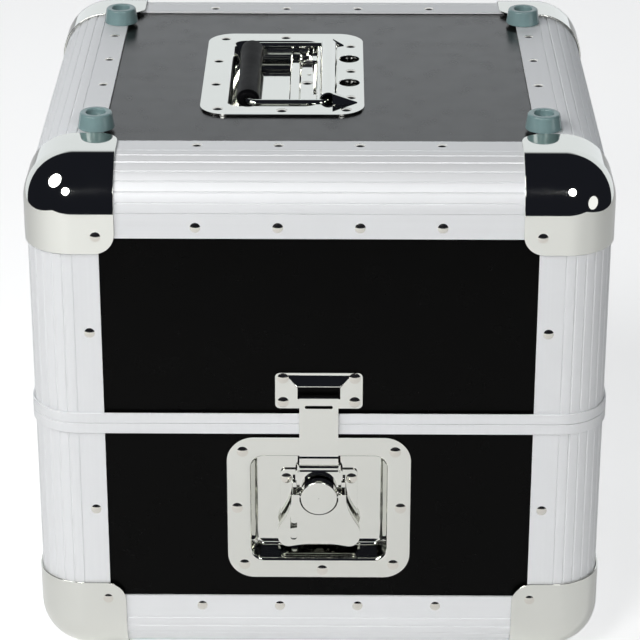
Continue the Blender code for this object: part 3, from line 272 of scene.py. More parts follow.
STREAKS = {
    "x": ((4, 500, 500), (6, 2400, 2400)),
    "y": ((500, 4, 500), (2400, 6, 2400)),
    "z": ((500, 500, 4), (2400, 2400, 6)),
}
ALUMINIUM = {
    run: surface(f"satin_aluminium_{run}", (0.84, 0.85, 0.86), 0.55, 0.25, spread=0.07,
                 scale=stretch, bump=0.05, bump_scale=fine, tint=0.03)
    for run, (stretch, fine) in STREAKS.items()
}
FLOOR = surface("studio_floor", (0.92, 0.92, 0.915), 0.6, spread=0.02, scale=3, bump=0.0,
                tint=0.01)
print(len(bpy.data.materials), "materials")

# %% [markdown]
# The photograph's floor is pure white and still takes the case's shadow. So the floor keeps its
# own pale colour, and a light of its own is added where the camera, a mirror or glass sees it.
# Light Path tells those rays apart, so none of that light falls on the case. The floor runs far
# back but ends in front and at the sides, where the round corners are to mirror the dark room.

# %% Floor
FLOOR_REAR = 30.0
FLOOR_FRONT = -1.01
FLOOR_SIDE = 1.02
FLOOR_GLOW = 0.57
FLOOR_GLOW_IN_METAL = 0.17


def calculate(tree, operation, *numbers):
    """One step of arithmetic on sockets or numbers."""
    return add_node(tree, "ShaderNodeMath", *numbers, operation=operation).outputs[0]


def whiten_floor():
    tree = FLOOR.node_tree
    rays = add_node(tree, "ShaderNodeLightPath").outputs
    glow = 0.0
    for label, strength in (("Is Camera Ray", FLOOR_GLOW), ("Is Glossy Ray", FLOOR_GLOW_IN_METAL),
                            ("Is Transmission Ray", FLOOR_GLOW_IN_METAL)):
        part = calculate(tree, "MULTIPLY", rays[label], strength)
        glow = calculate(tree, "MAXIMUM", glow, part)
    shader = tree.nodes["Principled BSDF"].inputs
    shader["Emission Color"].default_value = WHITE
    tree.links.new(glow, shader["Emission Strength"])


def rectangle(left, right, low, high):
    return [(left, low), (right, low), (right, high), (left, high)]


def build_floor():
    mesh = bpy.data.meshes.new("floor")
    corners = rectangle(-FLOOR_SIDE, FLOOR_SIDE, FLOOR_FRONT, FLOOR_REAR)
    mesh.from_pydata([(x, y, 0) for x, y in corners], [], [(0, 1, 2, 3)])
    mesh.materials.append(FLOOR)
    floor = bpy.data.objects.new("floor", mesh)
    bpy.context.scene.collection.objects.link(floor)
    floor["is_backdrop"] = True


whiten_floor()
build_floor()

# %% [markdown]
# A few helpers make every later cell short. One turns a mesh into a finished piece: it gives it a
# material, says which body it rides on, and hides the plain solids that it stands for. The
# others draw round outlines and join a row of outlines into one skin.

# %% Helpers
SHARP = radians(34)
BEVELLED = radians(40)


def settle(obj):
    """Applies an object's modifiers, so that only a plain mesh is left."""
    bpy.context.view_layer.update()
    solved = obj.evaluated_get(bpy.context.evaluated_depsgraph_get())
    mesh = bpy.data.meshes.new_from_object(solved)
    obj.modifiers.clear()
    obj.data = mesh
    return obj


def new_object(name, shape):
    """An object at the origin from a bmesh or a mesh."""
    if isinstance(shape, bmesh.types.BMesh):
        mesh = bpy.data.meshes.new(name)
        shape.to_mesh(mesh)
        shape.free()
    else:
        mesh = shape
    obj = bpy.data.objects.new(name, mesh)
    bpy.context.scene.collection.objects.link(obj)
    return obj


def thicken(obj, sheet, even=False):
    """Gives a skin the thickness of its sheet, on its inner side."""
    wall = obj.modifiers.new("wall", "SOLIDIFY")
    wall.thickness = sheet
    wall.offset = -1
    wall.use_even_offset = even
    return settle(obj)


def round_edges(obj, width, angle=BEVELLED, segments=2):
    """Breaks the edges that are sharper than an angle, as tumbling or pressing does."""
    bevel = obj.modifiers.new("rounded", "BEVEL")
    bevel.width = width
    bevel.segments = segments
    bevel.limit_method = "ANGLE"
    bevel.angle_limit = angle
    return settle(obj)


def dress(obj, material, body, slot, *replaced, angle=SHARP):
    """Shades a piece, gives it its material and its body, and hides what it replaces."""
    obj.data.materials.clear()
    obj.data.materials.append(material)
    obj.data.polygons.foreach_set("material_index", [0] * len(obj.data.polygons))
    obj.data.shade_smooth()
    obj.data.set_sharp_from_angle(angle=angle)
    flats = obj.modifiers.new("flats", "WEIGHTED_NORMAL")
    flats.keep_sharp = True
    settle(obj)
    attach(obj, body)
    if replaced:
        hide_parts(*replaced)


def arc(centre, radius, start, end, segments):
    """Points along an arc, both ends included."""
    steps = (start + (end - start) * step / segments for step in range(segments + 1))
    return [(centre[0] + radius * cos(a), centre[1] + radius * sin(a)) for a in steps]


def circle(centre, radius, segments):
    return arc(centre, radius, 0, 2 * pi * (segments - 1) / segments, segments - 1)


def rounded_rectangle(left, right, low, high, radius, segments=10):
    outline = []
    middles = ((right - radius, high - radius), (left + radius, high - radius),
               (left + radius, low + radius), (right - radius, low + radius))
    for number, middle in enumerate(middles):
        outline += arc(middle, radius, number * pi / 2, (number + 1) * pi / 2, segments)
    return outline


def centred(at_u, at_v, wide, tall):
    """The four sides of a rectangle from its middle and its size."""
    return at_u - wide / 2, at_u + wide / 2, at_v - tall / 2, at_v + tall / 2


def outward(shape):
    if shape.calc_volume(signed=True) < 0:
        bmesh.ops.reverse_faces(shape, faces=shape.faces)
    return shape


def skin(loops, ends="capped"):
    """Joins rings of points into a shell: both ends capped, joined, or only the last a floor."""
    shape = bmesh.new()
    rows = [[shape.verts.new(point) for point in loop] for loop in loops]
    pairs = list(zip(rows, rows[1:])) + ([(rows[-1], rows[0])] if ends == "joined" else [])
    for row, following in pairs:
        for index in range(len(row)):
            after = (index + 1) % len(row)
            shape.faces.new((row[index], row[after], following[after], following[index]))
    if ends == "capped":
        shape.faces.new(reversed(rows[0]))
    if ends != "joined":
        shape.faces.new(rows[-1])
    return outward(shape)


# %% [markdown]
# The panels are flat sheets of laminated board and the frame already has them right, so they
# only get their finish. A CAD node keeps its mesh; its material slot takes the new material.

# %% Panels
for name, node in nodes.items():
    if name.endswith("_panel"):
        # The lid's top panel takes the laminate copy with painted sheen; every other panel takes the
        # plain black laminate.
        finish = LAMINATE_PAINTED_TOP_SHEEN if name == "lid_top_panel" else LAMINATE
        node.material_slots[0].material = finish

# %% [markdown]
# The edges are extruded: one section, pushed out along a line. Geometry Nodes suit that well.
# The tree draws a quarter circle with a flat flange at each end, presses a shallow groove
# wherever a whole number of flutes has passed, draws the inner lip the same way without grooves,
# and extrudes both. The mesh is then laid along each edge of the case and given its thickness.

# %% Fluted section, as a Geometry Nodes tree
EDGE_RADIUS = 0.030
EDGE_REACH = 0.046
EDGE_SKIN = 0.0015
LIP_FACE = 0.0091
FLUTES = 7
GROOVE_DEPTH = 0.00055
GROOVE_HALF_SHARE = 0.105
FLUTE_STEPS = 20
MERGE_DISTANCE = 0.00001


def tree_with(name, inputs):
    """A geometry tree with named inputs, the outputs of its input node, and its output node."""
    tree = bpy.data.node_groups.new(name, "GeometryNodeTree")
    tree.interface.new_socket("Geometry", in_out="INPUT", socket_type="NodeSocketGeometry")
    for label, kind in inputs:
        tree.interface.new_socket(label, in_out="INPUT", socket_type=f"NodeSocket{kind}")
    tree.interface.new_socket("Geometry", in_out="OUTPUT", socket_type="NodeSocketGeometry")
    return tree, tree.nodes.new("NodeGroupInput").outputs, tree.nodes.new("NodeGroupOutput")


def close_tree(tree, geometry, finish, result):
    """Makes every copy real and gives it its finish. An export would drop mere instances."""
    real = add_node(tree, "GeometryNodeRealizeInstances", geometry)
    painted = add_node(tree, "GeometryNodeSetMaterial", Geometry=real.outputs[0], Material=finish)
    tree.links.new(painted.outputs[0], result.inputs[0])


def section_tree():
    tree, given, result = tree_with("fluted_section", (
        ("Radius", "Float"), ("Flange", "Float"), ("Lip", "Float"), ("Length", "Float"),
        ("Flutes", "Int"), ("Groove Depth", "Float"), ("Groove Share", "Float"),
        ("Finish", "Material"),
    ))

    def sums(operation, *numbers):
        return calculate(tree, operation, *numbers)

    def point(x=0.0, y=0.0, z=0.0):
        return add_node(tree, "ShaderNodeCombineXYZ", x, y, z).outputs[0]

    def line(start, end):
        return add_node(tree, "GeometryNodeCurvePrimitiveLine", Start=start, End=end).outputs[0]

    def round_back(radius):
        count = sums("MULTIPLY_ADD", given["Flutes"], FLUTE_STEPS, 1.0)
        return add_node(tree, "GeometryNodeCurveArc", mode="RADIUS", Radius=radius,
                        Start_Angle=pi, Sweep_Angle=pi / 2, Resolution=count).outputs[0]

    along = add_node(tree, "GeometryNodeSplineParameter").outputs["Factor"]
    turns = sums("MULTIPLY", along, given["Flutes"])
    away = sums("ABSOLUTE", sums("SUBTRACT", turns, sums("ROUND", turns)))
    press = map_range(tree, away, 1.0, 0.0, interpolation_type="SMOOTHSTEP", From_Min=0.0,
                      From_Max=given["Groove Share"])
    depth = sums("MULTIPLY", press, given["Groove Depth"])
    share = sums("DIVIDE", depth, given["Radius"])
    place = add_node(tree, "GeometryNodeInputPosition").outputs[0]
    inward = add_node(tree, "ShaderNodeVectorMath", place, operation="SCALE",
                      Scale=sums("MULTIPLY", share, -1.0))
    grooved = add_node(tree, "GeometryNodeSetPosition", Geometry=round_back(given["Radius"]),
                       Offset=inward.outputs[0]).outputs[0]

    joined = tree.nodes.new("GeometryNodeJoinGeometry")
    inner = sums("SUBTRACT", given["Radius"], given["Lip"])
    for radius, back in ((given["Radius"], grooved), (inner, round_back(inner))):
        low = sums("MULTIPLY", radius, -1.0)
        for part in (line(point(low, given["Flange"]), point(low)), back,
                     line(point(0.0, low), point(given["Flange"], low))):
            tree.links.new(part, joined.inputs[0])
    wire = add_node(tree, "GeometryNodeCurveToMesh", Curve=joined.outputs[0])
    merged = add_node(tree, "GeometryNodeMergeByDistance", Geometry=wire.outputs[0],
                      Distance=MERGE_DISTANCE)
    pushed = add_node(tree, "GeometryNodeExtrudeMesh", mode="EDGES", Mesh=merged.outputs[0],
                      Offset=point(z=given["Length"]), Offset_Scale=1.0)
    close_tree(tree, pushed.outputs["Mesh"], given["Finish"], result)
    return tree


def grown(name, tree, base=None, **values):
    """The mesh that a geometry tree makes with the given input values."""
    obj = new_object(name, base or bpy.data.meshes.new(name))
    change = obj.modifiers.new("grown", "NODES")
    change.node_group = tree
    for item in tree.interface.items_tree:
        key = item.name.replace(" ", "_").lower()
        if item.in_out == "INPUT" and key in values:
            change[item.identifier] = values[key]
    settle(obj)
    mesh = obj.data
    bpy.data.objects.remove(obj)
    return mesh


SECTION = section_tree()

# %% Edges and uprights
EDGE_BREAK = 0.00025
EDGE_BEVELLED = radians(60)
EDGE_SHARP = radians(30)


def lay_edge(name, body, run, place):
    """One profile from a level mesh: its section stands on two faces of the case."""
    axis = "xyz".index(run)
    low, high = [corner[axis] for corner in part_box(name)]
    shape = bmesh.new()
    shape.from_mesh(grown(name + "_profile", SECTION, radius=EDGE_RADIUS,
                          flange=EDGE_REACH - EDGE_RADIUS, lip=LIP_FACE, length=high - low,
                          flutes=FLUTES, groove_depth=GROOVE_DEPTH,
                          groove_share=GROOVE_HALF_SHARE, finish=ALUMINIUM[run]))
    bmesh.ops.remove_doubles(shape, verts=shape.verts, dist=MERGE_DISTANCE)
    for vert in shape.verts:
        u, v, along = vert.co
        vert.co = place(u + EDGE_RADIUS, v + EDGE_RADIUS, low + along)
    middle = place(EDGE_RADIUS, EDGE_RADIUS, (low + high) / 2)
    shape.normal_update()
    for face in shape.faces:
        away = face.calc_center_median() - middle
        away[axis] = 0
        if face.normal.dot(away) < 0:
            face.normal_flip()
    piece = thicken(new_object(name + "_profile", shape), EDGE_SKIN)
    round_edges(piece, EDGE_BREAK, EDGE_BEVELLED)
    dress(piece, ALUMINIUM[run], body, "aluminium", name, angle=EDGE_SHARP)


for half, body, face, up in HALVES:
    for side, at, inward in WALLS:
        lay_edge(f"{half}_{side}_edge", body, "x",
                 lambda u, v, x: Vector((x, at + inward * u, face + up * v)))
    for side, at, inward in FLANKS:
        lay_edge(f"{half}_{side}_edge", body, "y",
                 lambda u, v, y: Vector((at + inward * u, y, face + up * v)))
    for (end, at_y, in_y), (side, at_x, in_x) in product(WALLS, FLANKS):
        lay_edge(f"{half}_{end}_{side}_upright", body, "z",
                 lambda u, v, z: Vector((at_x + in_x * u, at_y + in_y * v, z)))

# %% [markdown]
# The eight corners are pressed caps: three flat flanges, three quarter rounds and an eighth of
# a ball, all one sheet. The mesh is the corner of a cube whose points are pushed out to a
# distance of one radius from an inner cube. The angles between the rows are even, so the
# reflections run smoothly. A Boolean rounds the flanges' corners, and a bevel breaks the rim.

# %% Corner caps
CAP_REACH = 0.056
CAP_SHEET = 0.0012
CAP_GAP = 0.0003
CAP_CORNER = 0.013
CAP_CORNER_STEPS = 12
CAP_BALL_STEPS = 14
CAP_FLANGE_STEPS = 4
CAP_RIM = 0.0004
CAP_BEVELLED = radians(55)
CAP_SHARP = radians(50)
CAP_MERGE_DISTANCE = 0.000001


def cap_surface():
    """The outer skin of a cap about its own corner, with the case towards +X, +Y and +Z."""
    proud = CAP_GAP + CAP_SHEET
    radius = EDGE_RADIUS + proud
    reach = CAP_REACH + proud + CAP_RIM
    marks = []
    for step in range(CAP_BALL_STEPS + 1):
        angle = pi / 4 * (1 - step / CAP_BALL_STEPS)
        marks.append(radius * (1 - sin(angle) / cos(angle)))
    marks += [radius + (reach - radius) * step / CAP_FLANGE_STEPS
              for step in range(1, CAP_FLANGE_STEPS + 1)]
    shape = bmesh.new()
    for axis in range(3):
        grid = []
        for first in marks:
            row = []
            for second in marks:
                point = Vector((0, 0, 0))
                point[(axis + 1) % 3], point[(axis + 2) % 3] = first, second
                core = Vector([max(c, radius) for c in point])
                core[axis] = radius
                row.append(shape.verts.new(
                    core + (point - core).normalized() * radius - Vector((proud,) * 3)))
            grid.append(row)
        for low, high in zip(grid, grid[1:]):
            for index in range(len(marks) - 1):
                shape.faces.new((low[index], low[index + 1], high[index + 1], high[index]))
    bmesh.ops.remove_doubles(shape, verts=shape.verts, dist=CAP_MERGE_DISTANCE)
    shape.normal_update()
    for face in shape.faces:
        if sum(face.normal) > 0:
            face.normal_flip()
    return shape


def combine(obj, shape, operation):
    """Applies a Boolean with a shape that is used up by it."""
    other = new_object("tool", shape)
    change = obj.modifiers.new("combined", "BOOLEAN")
    change.operation = operation
    change.object = other
    settle(obj)
    bpy.data.objects.remove(other)


def cap_mesh():
    cap = thicken(new_object("cap", cap_surface()), CAP_SHEET)
    trim_shape = bmesh.new()
    bmesh.ops.create_cube(trim_shape, size=1)
    for vert in trim_shape.verts:
        vert.co = Vector([CAP_REACH if c > 0 else -EDGE_RADIUS for c in vert.co])
    far = max(trim_shape.verts, key=lambda v: sum(v.co))
    bmesh.ops.bevel(trim_shape, geom=list(far.link_edges), offset=CAP_CORNER,
                    segments=CAP_CORNER_STEPS, profile=0.5, affect="EDGES")
    combine(cap, trim_shape, "INTERSECT")
    round_edges(cap, CAP_RIM, CAP_BEVELLED, segments=3)
    mesh = cap.data
    bpy.data.objects.remove(cap)
    return mesh


CAP_MESH = cap_mesh()

for (half, body, face, up), (end, at_y, in_y), (side, at_x, in_x) in product(HALVES, WALLS, FLANKS):
    name = f"{half}_{end}_{side}"
    shape = bmesh.new()
    shape.from_mesh(CAP_MESH)
    for vert in shape.verts:
        x, y, z = vert.co
        vert.co = (at_x + in_x * x, at_y + in_y * y, face + up * z)
    piece = new_object(name + "_corner", outward(shape))
    dress(piece, CHROME, body, "chrome", name + "_cap", angle=CAP_SHARP)
print("caps of", len(CAP_MESH.polygons), "faces")

# %% [markdown]
# Two aluminium rings close the halves. Each is one section carried round the case's plan, with
# corners that follow the uprights. The lower ring has a tongue and the upper one the groove that
# takes it. Tiny rounds on the outer corners catch the light as two bright lines.

# %% Closing rings
RING_HEIGHT = 0.007
RING_PROUD = 0.0015
RING_SHEET = 0.0013
RING_INNER_HEIGHT = 0.014
RING_GAP = 0.0003
RING_BACK = 0.0120
RING_STEPS = 18
RING_BREAK = 0.00035
RING_BEVELLED = radians(50)
RING_SHARP = radians(35)
TONGUE_CENTRE = 0.005
TONGUE_HALF = 0.0015
TONGUE_TIP_HALF = 0.0012
TONGUE_HEIGHT = 0.0024
GROOVE_CLEARANCE = 0.0004


def ring_sections():
    face, web = RING_GAP / 2, RING_GAP / 2 + RING_SHEET
    slot = RING_BACK - RING_SHEET
    lower = [
        (-RING_PROUD, -RING_HEIGHT), (-RING_PROUD, -face), (TONGUE_CENTRE - TONGUE_HALF, -face),
        (TONGUE_CENTRE - TONGUE_TIP_HALF, TONGUE_HEIGHT),
        (TONGUE_CENTRE + TONGUE_TIP_HALF, TONGUE_HEIGHT), (TONGUE_CENTRE + TONGUE_HALF, -face),
        (RING_BACK, -face), (RING_BACK, -RING_INNER_HEIGHT), (slot, -RING_INNER_HEIGHT),
        (slot, -web), (-RING_GAP, -web), (-RING_GAP, -RING_HEIGHT),
    ]
    groove = TONGUE_HALF + GROOVE_CLEARANCE
    top = face + TONGUE_HEIGHT + GROOVE_CLEARANCE
    wall = groove + RING_SHEET
    upper = [
        (-RING_PROUD, RING_HEIGHT), (-RING_GAP, RING_HEIGHT), (-RING_GAP, web),
        (TONGUE_CENTRE - wall, web), (TONGUE_CENTRE - wall, top + RING_SHEET),
        (TONGUE_CENTRE + wall, top + RING_SHEET), (TONGUE_CENTRE + wall, web), (slot, web),
        (slot, RING_INNER_HEIGHT), (RING_BACK, RING_INNER_HEIGHT), (RING_BACK, face),
        (TONGUE_CENTRE + groove, face), (TONGUE_CENTRE + groove, top),
        (TONGUE_CENTRE - groove, top), (TONGUE_CENTRE - groove, face), (-RING_PROUD, face),
    ]
    return (("body_ring", "case", lower), ("lid_ring", "lid", upper))


for name, body, section in ring_sections():
    loops = []
    plan = rounded_rectangle(LEFT_X, RIGHT_X, FRONT_Y, REAR_Y, EDGE_RADIUS, RING_STEPS)
    middles = [Vector((x, y)) for y in (REAR_Y - EDGE_RADIUS, FRONT_Y + EDGE_RADIUS)
               for x in (RIGHT_X - EDGE_RADIUS, LEFT_X + EDGE_RADIUS)]
    for point in plan:
        at = Vector(point)
        inward = (min(middles, key=lambda m: (m - at).length) - at).normalized()
        loops.append([Vector((*(at + inward * u), SEAM_Z + z)) for u, z in section])
    piece = new_object(name + "_trim", skin(loops, ends="joined"))
    round_edges(piece, RING_BREAK, RING_BEVELLED, segments=3)
    dress(piece, ALUMINIUM["z"], body, "aluminium", name, angle=RING_SHARP)

# %% [markdown]
# A rubber foot is turned, so its outline is drawn once and spun round. A round-headed screw sits
# deep in its hole. Geometry Nodes put one foot on each of four points per body. The same tree
# will place every rivet: it reads a direction stored on each point, and turns the copy to it.

# %% Copies on points, as a Geometry Nodes tree
def scatter_tree():
    tree, given, result = tree_with("copies_on_points", (
        ("Shape", "Object"), ("Spread", "Float"), ("Seed", "Int"), ("Finish", "Material"),
    ))
    shape = add_node(tree, "GeometryNodeObjectInfo", Object=given["Shape"])
    facing = add_node(tree, "GeometryNodeInputNamedAttribute", data_type="FLOAT_VECTOR",
                      Name="facing")
    turn = add_node(tree, "FunctionNodeAlignRotationToVector", axis="Z", Vector=facing.outputs[0])
    size = add_node(tree, "FunctionNodeRandomValue", data_type="FLOAT", Seed=given["Seed"])
    for socket, sign in ((size.inputs[2], -1.0), (size.inputs[3], 1.0)):
        tree.links.new(calculate(tree, "MULTIPLY_ADD", given["Spread"], sign, 1.0), socket)
    copied = add_node(tree, "GeometryNodeInstanceOnPoints", Points=given["Geometry"],
                      Instance=shape.outputs["Geometry"], Rotation=turn.outputs[0],
                      Scale=size.outputs[1])
    close_tree(tree, copied.outputs[0], given["Finish"], result)
    return tree


SCATTER = scatter_tree()


def turned(outline, steps):
    """A body turned about Z from an outline of radius and height. It closes at the axis."""
    shape = bmesh.new()
    rows = []
    for radius, height in outline:
        if radius == 0:
            rows.append([shape.verts.new((0, 0, height))])
        else:
            rows.append([shape.verts.new((x, y, height)) for x, y in circle((0, 0), radius, steps)])
    for row, following in zip(rows, rows[1:]):
        for index in range(steps):
            after = (index + 1) % steps
            ring = [row[index % len(row)], row[after % len(row)],
                    following[after % len(following)], following[index % len(following)]]
            shape.faces.new(list(dict.fromkeys(ring)))
    return outward(shape)


def copies(name, shape, places, material, body, slot, *replaced, spread=0.0, seed=1):
    """One mesh with a copy of a shape on each place; a place is a point and a direction."""
    master = new_object(name + "_master", shape)
    base = bpy.data.meshes.new(name)
    base.from_pydata([point for point, _ in places], [], [])
    facing = base.attributes.new("facing", "FLOAT_VECTOR", "POINT")
    facing.data.foreach_set("vector", [c for _, normal in places for c in normal])
    mesh = grown(name, SCATTER, base, shape=master, spread=spread, seed=seed, finish=material)
    bpy.data.objects.remove(master)
    print(name, len(places), "copies,", len(mesh.polygons), "faces")
    dress(new_object(name, mesh), material, body, slot, *replaced)


# %% Feet
FOOT_HEIGHT = 0.010
FOOT_RADIUS = 0.0115
FOOT_TOP_RADIUS = 0.0102
FOOT_HOLE_RADIUS = 0.0060
FOOT_FLOOR = 0.0035
FOOT_BASE_ROUND = 0.0006
FOOT_TOP_ROUND = 0.0014
FOOT_FLOOR_ROUND = 0.0004
FOOT_DRAFT = radians(8)
FOOT_ARC_STEPS = (4, 7, 6)
FOOT_STEPS = 48
SCREW_RADIUS = 0.0046
SCREW_RISE = 0.0016
SCREW_SINK = 0.0005
SCREW_BEVEL = 0.0004
SCREW_SHARES = (0.8, 0.4)
SCREW_STEPS = 24


def foot_outline():
    """The foot's side, its soft upper lip, and its hole down to the closed floor."""
    lip = (FOOT_TOP_RADIUS - FOOT_HOLE_RADIUS) / 4
    base, top, floor = FOOT_BASE_ROUND, FOOT_TOP_ROUND, FOOT_FLOOR_ROUND
    base_steps, top_steps, lip_steps = FOOT_ARC_STEPS
    return [
        (0, 0), (FOOT_RADIUS - base, 0),
        *arc((FOOT_RADIUS - base, base), base, -pi / 2, FOOT_DRAFT, base_steps),
        *arc((FOOT_TOP_RADIUS - top, FOOT_HEIGHT - top), top, FOOT_DRAFT, pi / 2, top_steps),
        *arc((FOOT_HOLE_RADIUS + lip, FOOT_HEIGHT - lip), lip, pi / 2, pi, lip_steps),
        (FOOT_HOLE_RADIUS, FOOT_FLOOR + floor), (FOOT_HOLE_RADIUS - floor, FOOT_FLOOR),
        (0, FOOT_FLOOR),
    ]


def screw_outline():
    foot, top = FOOT_FLOOR - SCREW_SINK, FOOT_FLOOR + SCREW_RISE
    shoulder, crown = SCREW_SHARES
    return [(0, foot), (SCREW_RADIUS, foot), (SCREW_RADIUS, FOOT_FLOOR + SCREW_BEVEL),
            (SCREW_RADIUS * shoulder, top - SCREW_BEVEL), (SCREW_RADIUS * crown, top), (0, top)]


def foot_places(names, out):
    """Where the feet stand: the middle of each foot's inner face, and the way out."""
    places = []
    for name in names:
        low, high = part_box(name)
        base = low.z if out > 0 else high.z
        places.append((Vector(((low.x + high.x) / 2, (low.y + high.y) / 2, base)),
                       Vector((0, 0, out))))
    return places


for half, body, _, up in HALVES:
    names = [f"{half}_{end}_{side}_foot" for (end, *_), (side, *_) in product(WALLS, FLANKS)]
    places = foot_places(names, -up)
    copies(f"{half}_feet", turned(foot_outline(), FOOT_STEPS), places, RUBBER, body, "rubber",
           *names)
    copies(f"{half}_foot_screws", turned(screw_outline(), SCREW_STEPS), places, RIVET_METAL,
           body, "chrome")

# %% [markdown]
# Domed rivets hold the whole case together. Their rows are worked out from the planes of the
# case: four along every flange of a level edge, one on each flange of an upright, and one on
# each side flange of a cap. Hardware rivets follow with the latch and the handle.

# %% Rivets of the edges and caps
RIVET_RADIUS = 0.0032
RIVET_HEIGHT = 0.0007
RIVET_STEPS = 24
RIVET_DOME_STEPS = 6
RIVET_SPREAD = 0.03
RIVET_SEED = 11
RIVET_INSET = 0.0388
RIVETS_IN_ROW = 4
RIVET_PITCH = 0.050
RIVET_RISE = 0.0615
CAP_RIVET_INSET = 0.0445


def rivet(radius=RIVET_RADIUS, height=RIVET_HEIGHT):
    """A low dome on a thin brim, with a foot that sinks into the sheet."""
    ball = (radius ** 2 + height ** 2) / (2 * height)
    edge = atan2(radius, ball - height)
    turns = [edge * step / RIVET_DOME_STEPS for step in range(RIVET_DOME_STEPS, 0, -1)]
    dome = [(ball * sin(turn), height - ball + ball * cos(turn)) for turn in turns]
    sunk = -height / 3
    return turned([(0, sunk), (radius, sunk)] + dome + [(0, height)], RIVET_STEPS)


def rivet_rows():
    """The rivets of each body. A flank's rows are a wall's rows with X and Y exchanged."""
    rows = {"case": [], "lid": []}
    steps = [RIVET_PITCH * (number - (RIVETS_IN_ROW - 1) / 2) for number in range(RIVETS_IN_ROW)]
    proud = CAP_GAP + CAP_SHEET
    for _, body, face, up in HALVES:
        for sides, ends, middle, order in ((WALLS, FLANKS, 0, 1), (FLANKS, WALLS, MIDDLE_Y, -1)):
            for _, at, inward in sides:
                outwards = (*(0, -inward)[::order], 0)

                def add(along, across, height, normal=outwards):
                    point = Vector((*(along, across)[::order], height))
                    rows[body].append((point, Vector(normal)))

                for step in steps:
                    add(middle + step, at, face + up * RIVET_INSET)
                    add(middle + step, at + inward * RIVET_INSET, face, (0, 0, -up))
                for _, end, in_end in ends:
                    add(end + in_end * RIVET_INSET, at, SEAM_Z - up * RIVET_RISE)
                    add(end + in_end * CAP_RIVET_INSET, at - inward * proud,
                        face + up * CAP_RIVET_INSET)
    return rows


for body, places in rivet_rows().items():
    copies(f"{body}_rivets", rivet(), places, RIVET_METAL, body, "chrome", spread=RIVET_SPREAD,
           seed=RIVET_SEED)

# %% [markdown]
# Sheet metal shows how it was made: every bend has a radius and every cut edge a tiny round. The
# next helpers draw plates, bent strips and rods, cut or join them with Booleans, and place them
# on the front, the back or the top of the case by their depth behind its faces.

# %% Sheet metal helpers
SHEET = 0.0012
BREAK = 0.00022
OVERREACH = 0.002
PLATE_CORNER = 0.003
SLOT_STEPS = 8


def on_front(u, v, depth):
    """A point across the case, its height, and its depth behind the front faces."""
    return Vector((u, FRONT_Y + depth, v))


def on_rear(u, v, depth):
    return Vector((u, REAR_Y - depth, v))


def on_top(u, v, depth):
    """A point across the case, its place from front to back, and its depth below the top."""
    return Vector((u, MIDDLE_Y + v, TOP_Z - depth))


def plate(outline, start, end, place=on_front):
    """An outline given a thickness, between two depths."""
    return skin([[place(u, v, depth) for u, v in outline] for depth in (start, end)])


def strip(section, start, end, place=on_front):
    """A section of depth and height carried across the case."""
    return skin([[place(at, v, depth) for depth, v in section] for at in (start, end)])


def rod(depth, height, radius, start, end, place=on_front, steps=32):
    return strip(circle((depth, height), radius, steps), start, end, place)


def filleted(points, radius, steps=5):
    """A line of points whose corners become arcs. Its two ends stay where they are."""
    points = [Vector(point) for point in points]
    path = [points[0]]
    for before, corner, after in zip(points, points[1:], points[2:]):
        back, on = (before - corner).normalized(), (after - corner).normalized()
        half = back.angle(on) / 2
        sweep = pi - 2 * half
        reach = radius * cos(half) / sin(half)
        middle = corner + (back + on).normalized() * radius / sin(half)
        first, last = corner + back * reach - middle, corner + on * reach - middle
        for step in range(steps + 1):
            turn = sweep * step / steps
            path.append(middle + (first * sin(sweep - turn) + last * sin(turn)) / sin(sweep))
    return path + [points[-1]]


def smoothed(points, steps=5):
    """A soft curve through all the points."""
    points = [Vector(point) for point in points]
    ends = [2 * points[0] - points[1]] + points + [2 * points[-1] - points[-2]]
    path = []
    for a, b, c, d in zip(ends, ends[1:], ends[2:], ends[3:]):
        for step in range(steps):
            t = step / steps
            path.append((2 * b + (c - a) * t + (2 * a - 5 * b + 4 * c - d) * t ** 2
                         + (3 * b - a - 3 * c + d) * t ** 3) / 2)
    return path + [points[-1]]


def join(obj, shape):
    combine(obj, shape, "UNION")


def cut(obj, shape):
    combine(obj, shape, "DIFFERENCE")


HARDWARE_RIVETS = {"case": [], "lid": []}


def rivets_at(body, places, place, normal, depth, middle=(0, 0)):
    """Rivets at places that are counted from a middle, on a face that looks along a normal."""
    for u, v in places:
        point = place(middle[0] + u, middle[1] + v, depth)
        HARDWARE_RIVETS[body].append((point, Vector(normal)))


# %% [markdown]
# The latch lies in a dish, drawn from one sheet in a press. Its wall has a draft so that it comes
# off the die, and the sheet rolls over at the rim and at the floor. So the dish is one section of
# insets and depths: each point becomes a rounded rectangle, and Solidify adds the thickness.

# %% Latch dish
TO_FRONT = (0, -1, 0)
TO_REAR = (0, 1, 0)
TO_TOP = (0, 0, 1)
DISH_BEND = 0.0020
DISH_FLAT = 1.8 * DISH_BEND
DISH_STEPS = 14
DISH_BEVELLED = radians(60)
LATCH_RECESS = (0.0865, 0.0738)
LATCH_RECESS_RADIUS = 0.0085
LATCH_RECESS_DEPTH = 0.014
LATCH_RECESS_DRAFT = 0.0035
LATCH_DISH_RADIUS = 0.017
LATCH_DISH_BREAK = 0.0003
LATCH_DISH_RIVETS = ((-0.048, 0.040), (0.048, 0.040), (-0.0517, 0), (0.0517, 0),
                     (-0.0475, -0.041), (0.0475, -0.041), (0.0022, -0.0450))
FACE_DEPTH = 0.0003


